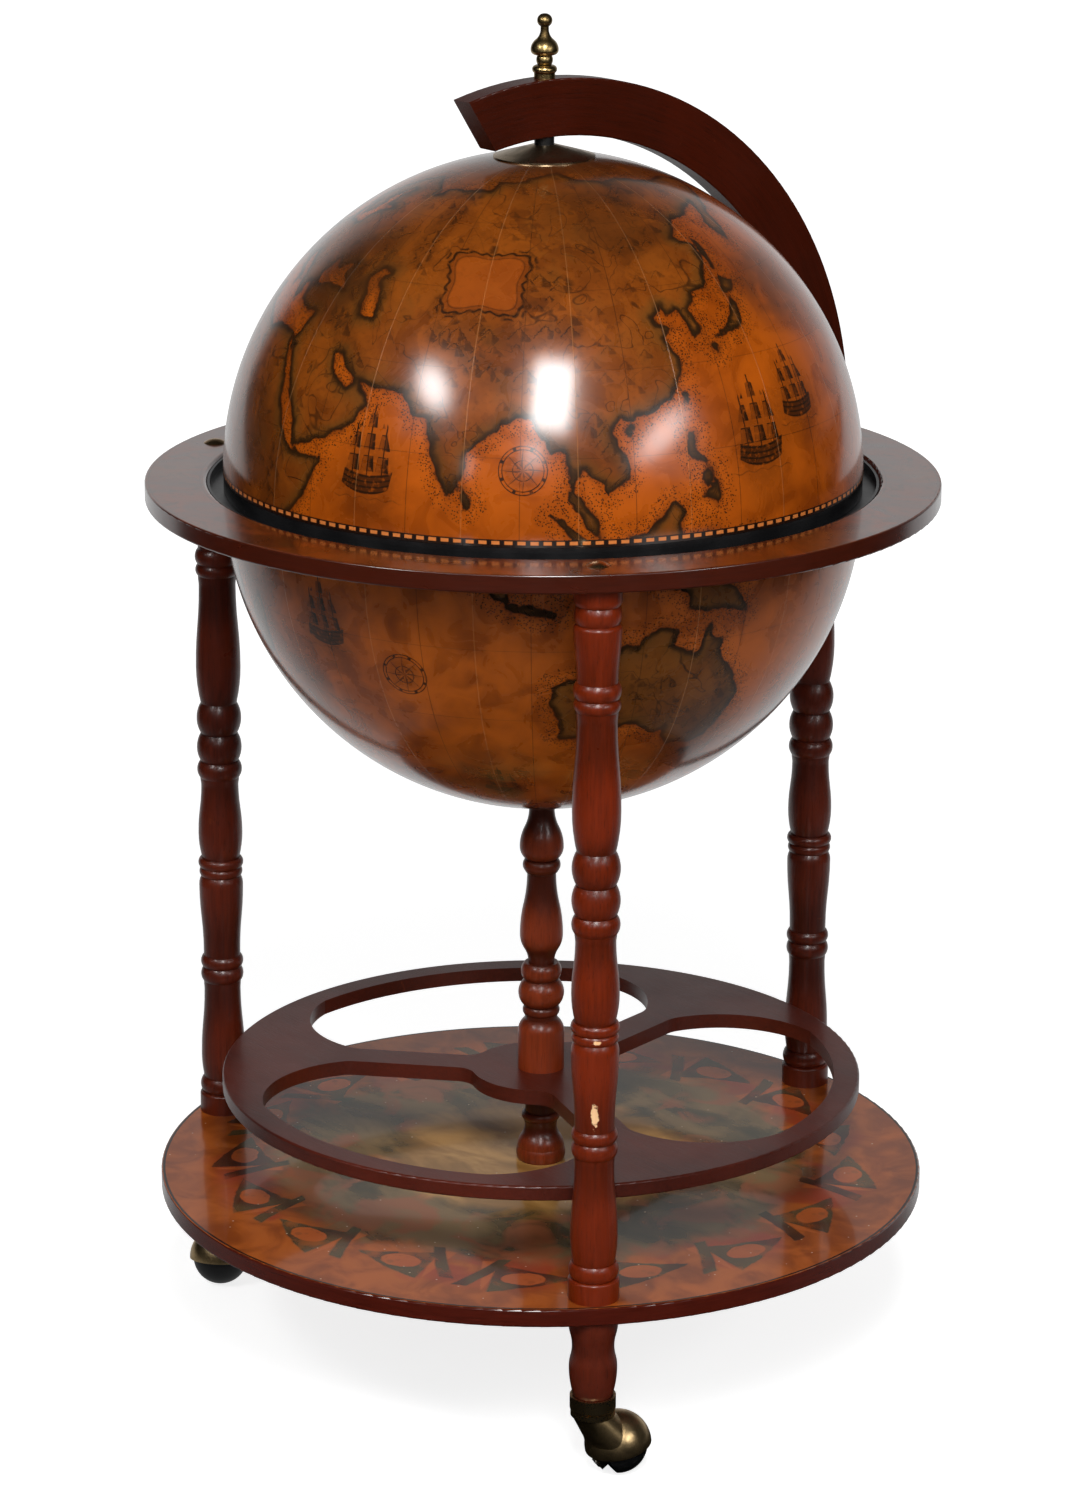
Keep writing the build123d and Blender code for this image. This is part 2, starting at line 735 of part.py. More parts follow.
def leaf_sinks(face_level, direction, clearance):
    """The screws' tapered heads, or with a clearance the tools for their countersinks."""
    sinks = []
    for side in (-1, 1):
        wide, narrow = screw_head_radius + clearance, screw_radius + clearance
        if direction > 0:
            sink = taper(wide, narrow, face_level - leaf_thickness, face_level)
        else:
            sink = taper(narrow, wide, face_level, face_level + leaf_thickness)
        sinks.append(Pos(side * screw_spread, hinge_reach - screw_set_in, 0) * sink)
    return sinks


def make_ring_leaf():
    """The lower leaf, with the two outer knuckles."""
    inner = knuckle_length / 2 + seat_clearance
    plate = leaf(ring_top, -1)
    plate -= knuckle(knuckle_radius + seat_clearance, -inner, inner)
    for side in (-1, 1):
        low, high = sorted((side * inner, side * half_hinge()))
        plate += knuckle(knuckle_radius, low, high)
    plate -= knuckle(hinge_pin_radius + running_clearance, -half_hinge(), half_hinge())
    for sink in leaf_sinks(ring_top, -1, bore_clearance):
        plate -= sink
    return plate


def make_arm_leaf():
    """The upper leaf, with the middle knuckle."""
    inner = knuckle_length / 2
    plate = leaf(arm_foot, 1)
    for side in (-1, 1):
        low, high = sorted((side * inner, side * (half_hinge() + seat_clearance)))
        plate -= knuckle(knuckle_radius + seat_clearance, low, high)
    plate += knuckle(knuckle_radius, -inner, inner)
    plate -= knuckle(hinge_pin_radius + running_clearance, -half_hinge(), half_hinge())
    for sink in leaf_sinks(arm_foot, 1, bore_clearance):
        plate -= sink
    return plate


def make_hinge_pin():
    """The pin through all three knuckles."""
    return knuckle(hinge_pin_radius, -half_hinge(), half_hinge())


def make_screws(face_level, direction):
    """A leaf's two screws as separate solids."""
    shanks = leaf_screws(face_level, direction, 0.0)
    heads = leaf_sinks(face_level, direction, 0.0)
    return Compound(children=[(shank + head).solid() for shank, head in zip(shanks, heads)])


# ---------------------------------------------------------------- castors, drawn with the trail along +X
def on_axle(shape, reach):
    """A shape drawn along +Z, set on the tilted axle at a distance from the ball's centre."""
    centre = Pos(castor_trail, 0, ball_radius)
    return centre * Rot(0, 90 - axle_tilt, 0) * Pos(0, 0, reach) * shape


def axle_bar(radius, start, end):
    """A round bar along the axle between two distances from the ball's centre."""
    bar = Cylinder(radius, end - start, align=(Align.CENTER, Align.CENTER, Align.MIN))
    return on_axle(bar, start)


def make_ferrule():
    """The brass cup round a foot's end, with the sleeve that the stem turns in."""
    floor = castor_height - ferrule_floor
    cup = rod(ferrule_radius, floor, castor_height + ferrule_rim)
    cup -= rod(ferrule_radius - ferrule_wall, castor_height, castor_height + ferrule_rim)
    cup = fillet(cup.edges().group_by(Axis.Z)[0], board_edge_round)
    bore = stem_radius + running_clearance
    cup += rod(bore + sleeve_wall, castor_height, castor_height + sleeve_length)
    return cup - rod(bore, floor, castor_height + sleeve_length)


def make_horn(head_bottom, boss_face):
    """The tapered horn from the swivel head down to the boss, flat where the axle's head lies."""
    axle = Vector(cos(radians(axle_tilt)), 0, sin(radians(axle_tilt)))
    foot = Vector(castor_trail, 0, ball_radius) + axle * (boss_face + boss_wall / 2)
    lean = degrees(atan2(foot.X, head_bottom - foot.Z))
    length = sqrt(foot.X**2 + (head_bottom - foot.Z) ** 2)
    cone = Cone(boss_radius, horn_radius, length, align=(Align.CENTER, Align.CENTER, Align.MIN))
    horn = Pos(foot) * Rot(0, -lean, 0) * cone + axle_bar(boss_radius, boss_face, boss_face + boss_wall)
    return horn & axle_bar(castor_height, boss_face, castor_height)


def make_hood():
    """The cast hood over the ball, with its swivel head, its stem and the horn that holds the axle."""
    head_top = castor_height - ferrule_floor - swivel_gap
    head_bottom = head_top - swivel_head_height
    outer = ball_radius + hood_gap + hood_wall
    hem = ball_radius + hood_hem
    hem_reach = shell_reach(outer, hood_hem)
    collar = Pos(0, 0, head_bottom) * Circle(swivel_head_radius - neck_step)
    brow = Pos(castor_trail, 0, hem) * Circle(hem_reach - neck_step)
    boss_face = -(ball_flat + hood_gap + boss_wall)
    cover = Pos(castor_trail, 0, ball_radius) * Sphere(outer)
    above_hem = Box(8 * outer, 4 * outer, 2 * outer, align=(Align.CENTER, Align.CENTER, Align.MIN))
    cover &= Pos(castor_trail + hem_reach, 0, hem) * Rot(0, -hem_tilt, 0) * above_hem
    room = Pos(castor_trail, 0, ball_radius) * Sphere(ball_radius + hood_gap)
    room &= axle_bar(castor_height, -(ball_flat + hood_gap), castor_height)
    hood = loft([collar.face(), brow.face()]) + cover
    hood += make_horn(head_bottom, boss_face)
    hood += rod(swivel_head_radius, head_bottom, head_top)
    hood -= room
    hood -= axle_bar(axle_radius + bore_clearance, boss_face, ball_radius + hood_gap + hood_wall / 2)
    return hood + rod(stem_radius, head_bottom, castor_height + sleeve_length - stem_end_gap)


def make_axle():
    """The tilted axle, peened over outside the boss."""
    start = -(ball_flat + hood_gap + boss_wall)
    bar = axle_bar(axle_radius, start, ball_radius + hood_gap)
    return bar + axle_bar(axle_head_radius, start - axle_head_height, start)


def make_ball():
    """The ball wheel, flat at the end that faces the boss."""
    ball = Pos(castor_trail, 0, ball_radius) * Sphere(ball_radius)
    ball &= axle_bar(2 * ball_radius, -ball_flat, 2 * ball_radius)
    return ball - axle_bar(axle_radius + running_clearance, -2 * ball_radius, 2 * ball_radius)


def place_castor(index, piece):
    """A castor's piece moved under its leg and turned the way it trails."""
    return at_leg(index) * Rot(0, 0, trail_angles[index]) * piece


# ---------------------------------------------------------------- the whole object
def make_all():
    """Every node by name."""
    nodes = {
        "base_shelf": make_shelf(),
        "horizon_ring": make_ring(),
        "bottle_rack": make_rack(),
        "upper_post": make_upper_post(),
        "lower_post": make_lower_post(),
        "post_stud": make_post_stud(),
        "shelf_screw": make_shelf_screw(),
        "bowl": make_bowl(),
        "bowl_bolt": make_bowl_bolt(),
        "bowl_washer": make_bowl_washer(),
        "ring_lining": make_lining(),
        "tray_ledge": make_ledge(),
        "serving_tray": make_tray(),
        "bottle_floor": make_bottle_floor(),
        "dome": make_dome(),
        "lid_band": make_lid_band(),
        "meridian_arm": make_arm(),
        "pole_cap": make_pole_cap(),
        "arm_spacer": make_spacer(),
        "finial": make_finial(),
        "pole_bolt": make_pole_bolt(),
        "pole_nut": make_pole_nut(),
        "pole_washer": make_pole_washer(),
        "hinge_ring_leaf": make_ring_leaf(),
        "hinge_arm_leaf": make_arm_leaf(),
        "hinge_pin": make_hinge_pin(),
        "ring_leaf_screws": make_screws(ring_top, -1),
        "arm_leaf_screws": make_screws(arm_foot, 1),
        "hinge_leg_bolt": at_leg(2) * make_flush_bolt(),
    }
    sides = ("right", "left", "back")
    leg, foot, stud, cap_bolt = make_leg(), make_foot(), make_leg_stud(), make_cap_bolt()
    nodes["leg_studs"] = Compound(children=[(at_leg(index) * stud).solid() for index in range(3)])
    nodes["leg_cap_bolts"] = Compound(children=[(at_leg(index) * cap_bolt).solid() for index in range(2)])
    castor = {"ferrule": make_ferrule(), "hood": make_hood(), "axle": make_axle(), "ball": make_ball()}
    for index, side in enumerate(sides):
        nodes["leg_" + side] = at_leg(index) * leg
        nodes["foot_" + side] = at_leg(index) * foot
        for name, piece in castor.items():
            nodes[f"castor_{name}_{side}"] = place_castor(index, piece)
    return nodes


os.makedirs("parts", exist_ok=True)
for node_name, node_shape in make_all().items():
    export_step(node_shape, f"parts/{node_name}.step")
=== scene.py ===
"""The looks of a floor-standing globe bar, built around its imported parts.

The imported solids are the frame. The two halves of the globe are remade here as fine shells that
carry an old-style map print; every other solid keeps its shape and gets its finish here.
"""

from __future__ import annotations

import json
import logging
import math
from abc import ABC, abstractmethod
from dataclasses import dataclass, field
from enum import Enum
from functools import partial, reduce
from typing import Callable, Iterable, Optional, Union

import bmesh
import bpy
import numpy as np
from mathutils import Matrix, Vector

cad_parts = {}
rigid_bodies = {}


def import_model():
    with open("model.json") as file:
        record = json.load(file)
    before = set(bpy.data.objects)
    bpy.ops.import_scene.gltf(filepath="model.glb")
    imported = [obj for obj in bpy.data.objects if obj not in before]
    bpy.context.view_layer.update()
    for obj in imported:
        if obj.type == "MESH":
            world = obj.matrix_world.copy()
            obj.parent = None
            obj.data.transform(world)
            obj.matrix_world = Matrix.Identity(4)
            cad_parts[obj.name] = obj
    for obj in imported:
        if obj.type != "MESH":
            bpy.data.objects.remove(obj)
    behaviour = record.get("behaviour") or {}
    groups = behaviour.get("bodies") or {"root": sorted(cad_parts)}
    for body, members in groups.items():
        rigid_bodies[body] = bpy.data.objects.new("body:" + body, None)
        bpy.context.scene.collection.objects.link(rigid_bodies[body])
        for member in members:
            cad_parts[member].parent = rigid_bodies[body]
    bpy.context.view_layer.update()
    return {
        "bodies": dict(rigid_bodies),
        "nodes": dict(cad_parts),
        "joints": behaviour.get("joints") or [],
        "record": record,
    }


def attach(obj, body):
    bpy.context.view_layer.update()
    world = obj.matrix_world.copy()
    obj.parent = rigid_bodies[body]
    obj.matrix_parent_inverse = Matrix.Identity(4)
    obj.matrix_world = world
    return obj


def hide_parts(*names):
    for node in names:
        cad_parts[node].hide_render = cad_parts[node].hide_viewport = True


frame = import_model()

log = logging.getLogger("globe_bar")

MM = 0.001
Rgb = tuple[int, int, int]
Spot = tuple[float, float]
Place = tuple[float, float, float]
Value = Union[float, "Signal"]
Colour = Union[Rgb, "Signal"]
Inputs = dict[str, object]
Row = tuple[float, ...]
Table = list[tuple[list[str], "Finish"]]

RING_TOP = 598.0
SHELF_TOP = 122.0
LEG_CIRCLE = 237.7
LEG_ANGLES = {"right": -30.0, "left": -150.0, "back": 90.0}
SIDES = tuple(LEG_ANGLES)
MIDDLE = ((0.0, 0.0, 0.0),)
SHARP = math.radians(40)


def linear(colour: Rgb) -> tuple[float, float, float, float]:
    """Turn an sRGB colour into the linear one that a shader takes.

    Args:
        colour: red, green and blue, each from 0 to 255.

    Returns:
        The linear colour with an alpha of 1.
    """
    parts = [part / 255 for part in colour]
    flat = [part / 12.92 if part <= 0.04045 else ((part + 0.055) / 1.055) ** 2.4 for part in parts]
    return (flat[0], flat[1], flat[2], 1.0)


def leg_axis(side: str) -> Place:
    """Give the point on the floor under a leg, in millimetres."""
    angle = math.radians(LEG_ANGLES[side])
    return (LEG_CIRCLE * math.cos(angle), LEG_CIRCLE * math.sin(angle), 0.0)


def direction(turn: float, rise: float) -> Vector:
    """Give the unit vector with a turn about the upright axis and a rise over the level, in degrees."""
    across, up = math.radians(turn), math.radians(rise)
    return Vector((math.cos(up) * math.cos(across), math.cos(up) * math.sin(across), math.sin(up)))


def linked(name: str, data: bpy.types.ID, place: Optional[Matrix] = None) -> bpy.types.Object:
    """Make an object of some data, at the origin or at a place, and link it to the scene."""
    item = bpy.data.objects.new(name, data)
    if place is not None:
        item.matrix_world = place
    bpy.context.scene.collection.objects.link(item)
    return item


# ---------------------------------------------------------------- node trees
def signs(operation: str) -> tuple[Callable[..., Signal], Callable[..., Signal]]:
    """Make the two methods behind a sign.

    Args:
        operation: the sum that the sign stands for.

    Returns:
        The method for a signal before the sign, and the one for a signal after it.
    """
    return (
        lambda self, other: work(operation, self, other),
        lambda self, other: work(operation, other, self),
    )


@dataclass(frozen=True, eq=False)
class Signal:
    """A number, a vector or a colour that nodes work out, with signs for its sums."""

    socket: bpy.types.NodeSocket

    __add__, __radd__ = signs("ADD")
    __sub__, __rsub__ = signs("SUBTRACT")
    __mul__, __rmul__ = signs("MULTIPLY")
    __truediv__, __rtruediv__ = signs("DIVIDE")

    def __abs__(self) -> Signal:
        """Drop the sign."""
        return work("ABSOLUTE", self)

    @property
    def tree(self) -> bpy.types.NodeTree:
        """Give the tree that the signal is in."""
        return self.socket.id_data


def feed(socket: bpy.types.NodeSocket, value: object) -> None:
    """Link a socket to a signal, or set its own value."""
    if isinstance(value, Signal):
        value.tree.links.new(value.socket, socket)
    else:
        socket.default_value = value


def add(tree: bpy.types.NodeTree, kind: str, inputs: object = (), **settings: object) -> bpy.types.Node:
    """Add a node.

    Args:
        tree: the tree that it goes in.
        kind: its type.
        inputs: what its sockets take, in their order, or by their names or numbers.
        settings: its properties.

    Returns:
        The node.
    """
    node = tree.nodes.new(kind)
    for key, value in settings.items():
        setattr(node, key, value)
    for key, value in inputs.items() if isinstance(inputs, dict) else enumerate(inputs):
        feed(node.inputs[key], value)
    return node


def read(tree: bpy.types.NodeTree, kind: str, output: str, **settings: object) -> Signal:
    """Add a node without inputs and give one of its outputs."""
    return Signal(add(tree, kind, **settings).outputs[output])


def shader(tree: bpy.types.NodeTree, kind: str, inputs: object = ()) -> Signal:
    """Add a shader."""
    return Signal(add(tree, kind, inputs).outputs[0])


def rays(tree: bpy.types.NodeTree) -> tuple[Signal, Signal]:
    """Tell rays apart.

    Returns:
        1 where the camera looks, through glass or not, and 1 where a shiny surface mirrors.
    """
    path = add(tree, "ShaderNodeLightPath").outputs
    camera, glass, shiny = (
        Signal(path[f"Is {kind} Ray"]) for kind in ("Camera", "Transmission", "Glossy")
    )
    return most(camera, glass), shiny


def home(*values: object) -> bpy.types.NodeTree:
    """Give the tree that some values are in, of which at least one is a signal."""
    return next(value.tree for value in values if isinstance(value, Signal))


def work(operation: str, *values: Value) -> Signal:
    """Work out one sum of numbers."""
    return Signal(add(home(*values), "ShaderNodeMath", values, operation=operation).outputs[0])


def most(*values: Value) -> Value:
    """Give the largest of several values."""
    return reduce(partial(work, "MAXIMUM"), values)


def least(*values: Value) -> Value:
    """Give the smallest of several values."""
    return reduce(partial(work, "MINIMUM"), values)


def vector(operation: str, *values: object) -> Signal:
    """Work out one vector sum, a number where the operation gives one."""
    node = add(home(*values), "ShaderNodeVectorMath", values, operation=operation)
    single = operation in ("DISTANCE", "LENGTH", "DOT_PRODUCT")
    return Signal(node.outputs["Value" if single else "Vector"])


def scaled(point: Signal, factor: float) -> Signal:
    """Scale a vector by one number."""
    inputs = {0: point, "Scale": factor}
    return Signal(add(point.tree, "ShaderNodeVectorMath", inputs, operation="SCALE").outputs["Vector"])


def place_in(tree: bpy.types.NodeTree) -> Signal:
    """Give the point on the object, in millimetres."""
    return scaled(read(tree, "ShaderNodeTexCoord", "Object"), 1 / MM)


def split(point: Signal) -> tuple[Signal, ...]:
    """Give a vector's three parts."""
    return tuple(Signal(part) for part in add(point.tree, "ShaderNodeSeparateXYZ", (point,)).outputs)


def joined(x: Value, y: Value, z: Value) -> Signal:
    """Make a vector of three numbers."""
    return Signal(add(home(x, y, z), "ShaderNodeCombineXYZ", (x, y, z)).outputs[0])


def span(x: Value, y: Value) -> Signal:
    """Give the length of a flat step."""
    return vector("LENGTH", joined(x, y, 0.0))


def noise(point: Signal, scale: float, detail: float = 2.0, warp: float = 0.0) -> Signal:
    """Give soft noise from 0 to 1."""
    inputs = {"Vector": point, "Scale": scale, "Detail": detail, "Distortion": warp}
    return Signal(add(point.tree, "ShaderNodeTexNoise", inputs).outputs["Fac"])


def scatter(point: Signal, scale: float) -> bpy.types.Node:
    """Scatter points, each with its patch round it."""
    return add(point.tree, "ShaderNodeTexVoronoi", {"Vector": point, "Scale": scale}, feature="F1")


def cells(point: Signal, scale: float) -> Signal:
    """Give the distance to the nearest of scattered points."""
    return Signal(scatter(point, scale).outputs["Distance"])


def tone(spots: bpy.types.Node) -> Signal:
    """Give one random number to each of scattered patches."""
    return split(Signal(spots.outputs["Color"]))[0]


def ease(value: Signal, start: float, end: float) -> Signal:
    """Rise smoothly from 0 at start to 1 at end, or fall where end is below start."""
    inputs = (value, min(start, end), max(start, end), 0.0, 1.0)
    node = add(value.tree, "ShaderNodeMapRange", inputs, interpolation_type="SMOOTHSTEP")
    rising = Signal(node.outputs[0])
    return rising if start <= end else 1.0 - rising


def line(distance: Signal, width: float, soft: float = 0.25) -> Signal:
    """Draw a line where a signed distance is near 0."""
    return ease(abs(distance), width / 2 + soft, max(width / 2 - soft, 0.0))


def mix(factor: Value, first: Colour, second: Colour) -> Signal:
    """Mix two colours, each a signal or an sRGB colour."""
    pair = (linear(colour) if isinstance(colour, tuple) else colour for colour in (first, second))
    inputs = dict(zip((0, 6, 7), (factor, *pair)))
    return Signal(add(home(factor, first, second), "ShaderNodeMix", inputs, data_type="RGBA").outputs[2])


def layered(colour: Colour, *layers: tuple[Value, Colour]) -> Colour:
    """Lay tints over a colour, each as strong as its mask."""
    for mask, tint in layers:
        colour = mix(mask, colour, tint)
    return colour


def repeat(value: Signal, period: float) -> Signal:
    """Fold a value to its distance from the nearest whole number of periods, with its sign."""
    turns = value / period
    return (turns - work("ROUND", turns)) * period


def bump(height: Signal, depth: float) -> Signal:
    """Turn a height into a normal, with its depth in millimetres."""
    inputs = {"Strength": 1.0, "Distance": depth * MM, "Height": height}
    return Signal(add(height.tree, "ShaderNodeBump", inputs).outputs[0])


# ---------------------------------------------------------------- finishes
@dataclass(frozen=True)
class Finish(ABC):
    """A finish that makes its own material."""

    title: str

    def material(self) -> bpy.types.Material:
        """Make the material.

        Returns:
            A material with one shader, fed by the finish.
        """
        material = bpy.data.materials.new(self.title)
        material.use_nodes = True
        tree = material.node_tree
        tree.nodes.clear()
        surface = shader(tree, "ShaderNodeBsdfPrincipled", self.paint(place_in(tree)))
        add(tree, "ShaderNodeOutputMaterial", (surface,))
        return material

    @abstractmethod
    def paint(self, place: Signal) -> Inputs:
        """Work out the looks.

        Args:
            place: the point on the object, in millimetres.

        Returns:
            What the shader's sockets take, by their names.
        """


def looks(colour: Colour, roughness: Value, normal: Signal, **others: float) -> Inputs:
    """Name the shader's sockets.

    Args:
        colour: the base colour.
        roughness: how rough the surface is.
        normal: its normal.
        others: any of metallic, specular, and coat and coat_roughness.

    Returns:
        What the sockets take, by their names.
    """
    names = {
        "metallic": "Metallic",
        "specular": "Specular IOR Level",
        "coat": "Coat Weight",
        "coat_roughness": "Coat Roughness",
    }
    plain = {"Base Color": colour, "Roughness": roughness, "Normal": normal}
    return plain | {names[key]: value for key, value in others.items()}


def from_axes(place: Signal, axes: tuple[Place, ...]) -> Value:
    """Give the distance to the nearest of some upright axes."""
    x, y, _ = split(place)
    flat = joined(x, y, 0.0)
    return least(*[vector("DISTANCE", flat, axis) for axis in axes])


def cloudy(place: Signal, scale: float, detail: float, warp: float, start: float, end: float) -> Signal:
    """Give patches of soft noise, eased from start to end."""
    return ease(noise(place, scale, detail, warp), start, end)


def wobble(place: Signal, scale: float, detail: float, size: float) -> Signal:
    """Give soft noise on both sides of 0, in millimetres."""
    return (noise(place, scale, detail) - 0.5) * size


class Grain(Enum):
    """Which way the grain runs, as how fast the streaks change along each axis."""

    UPRIGHT = (0.55, 0.55, 0.018)
    ACROSS = (0.018, 0.55, 0.55)
    HOOP = (0.55, 0.55, 0.02)


@dataclass(frozen=True)
class StainedWood(Finish):
    """Wood stained to mahogany under a semi-gloss varnish."""

    dark: Rgb = (34, 9, 3)
    light: Rgb = (84, 26, 8)
    grain: Grain = Grain.ACROSS
    axes: tuple[Place, ...] = ()
    groove_radius: float = 9.5
    full_radius: float = 15.0
    hoop_height: float = 600.0
    gloss: float = 0.30
    shine: float = 0.35
    scuff: Rgb = (120, 56, 26)
    timber: tuple[Rgb, Rgb] = ((226, 160, 106), (250, 214, 164))
    chips: tuple[tuple[float, float, float, float, float], ...] = ()

    def streaks(self, place: Signal) -> Signal:
        """Give the coordinates that stretch a noise along the grain."""
        if self.grain is not Grain.HOOP:
            return vector("MULTIPLY", place, self.grain.value)
        x, y, z = split(place)
        height = z - self.hoop_height
        reach = work("SQRT", y * y + height * height)
        turn = work("ARCTAN2", height, y) * 240.0
        across, out, along = self.grain.value
        return joined(x * across, reach * out, turn * along)

    def groove_shade(self, place: Signal) -> Value:
        """Give the painted shade of the turning: 0 in its deepest groove and 1 on its fullest bead."""
        return ease(from_axes(place, self.axes), self.groove_radius, self.full_radius)

    def bare(self, place: Signal) -> Value:
        """Give 1 where a chip has bared the wood under the stain.

        Each chip is its place, and half its width and half its height, in millimetres.
        """
        ragged = wobble(place, 0.5, 3.0, 1.1)
        marks = []
        for x, y, z, width, height in self.chips:
            offset = vector("SUBTRACT", place, (x, y, z))
            shaped = vector("DIVIDE", offset, (width, width, height))
            marks.append(ease(vector("LENGTH", shaped) + ragged, 1.1, 0.9))
        return most(*marks)

    def paint(self, place: Signal) -> Inputs:
        """Streak the stain along the grain, and paint shade into the grooves."""
        streaks = self.streaks(place)
        fine = noise(streaks, 1.0, 4.0)
        cloud = noise(place, 0.012, 2.0)
        blend = fine * 0.4 + cloud * 0.7 - 0.05
        # Painted shade: the stain is darkened towards the grooves of a turned piece and kept lighter on
        # its beads.
        if self.axes:
            blend = blend * (0.35 + self.groove_shade(place) * 0.8)
        pores = noise(scaled(streaks, 3.4), 1.0, 2.0)
        colour = layered(
            mix(ease(blend, 0.12, 0.82), self.dark, self.light),
            (ease(pores, 0.4, 0.28) * 0.6, tuple(part // 2 for part in self.dark)),
            (cloudy(place, 0.09, 4.0, 1.0, 0.7, 0.78) * 0.35, self.scuff),
        )
        height = ease(pores, 0.3, 0.5)
        if self.chips:
            chip = self.bare(place)
            colour = mix(chip, colour, mix(fine, *self.timber))
            height = height - chip * 4.0
        roughness = self.gloss - 0.07 + noise(place, 0.03, 3.0) * 0.16
        coat = self.shine * 0.43
        varnish = {"specular": self.shine, "coat": coat, "coat_roughness": 0.14}
        return looks(colour, roughness, bump(height, 0.05), **varnish)


@dataclass(frozen=True)
class BoardPrint(Finish):
    """A board with a print on its top, and mahogany on its edge and underside."""

    top: float = 0.0
    edge: tuple[Rgb, Rgb] = ((0, 0, 0), (0, 0, 0))
    lip: float = 0.5

    def edged(self, place: Signal, printed: Colour) -> Signal:
        """Stain all that lies below the top."""
        streaks = noise(vector("MULTIPLY", place, (0.05, 0.05, 0.8)), 1.0, 3.0)
        topside = ease(split(place)[2], self.top - self.lip, self.top - 0.1)
        return mix(topside, mix(streaks, *self.edge), printed)


@dataclass(frozen=True)
class RingPrint(BoardPrint):
    """The horizon ring, with a mottled print."""

    top: float = RING_TOP
    edge: tuple[Rgb, Rgb] = ((44, 12, 3), (72, 22, 7))
    outer_line: float = 257.4
    inner_line: float = 224.0

    def paint(self, place: Signal) -> Inputs:
        """Lay the print on the top and stain the rest."""
        x, y, _ = split(place)
        radius = work("SQRT", x * x + y * y)
        shift = wobble(place, 0.02, 3.0, 40.0)
        swirl = noise(vector("ADD", place, joined(shift, shift, 0.0)), 0.03, 4.0, 1.4)
        veins = line(noise(place, 0.028, 4.0, 1.8) - 0.5, 0.012, 0.008)
        rims = most(line(radius - self.outer_line, 0.8), line(radius - self.inner_line, 0.8))
        printed = layered(
            mix(ease(swirl, 0.34, 0.66), (70, 26, 5), (106, 44, 10)),
            (cloudy(place, 0.045, 5.0, 2.2, 0.53, 0.68) * 0.7, (56, 28, 10)),
            (cloudy(place, 0.016, 3.0, 0.8, 0.56, 0.72) * 0.4, (108, 62, 26)),
            (veins * 0.6, (48, 22, 8)),
            (rims * 0.5, (40, 18, 12)),
        )
        roughness = 0.22 + swirl * 0.16
        colour = self.edged(place, printed)
        return looks(colour, roughness, bump(swirl, 0.02), coat=0.9, coat_roughness=0.1)


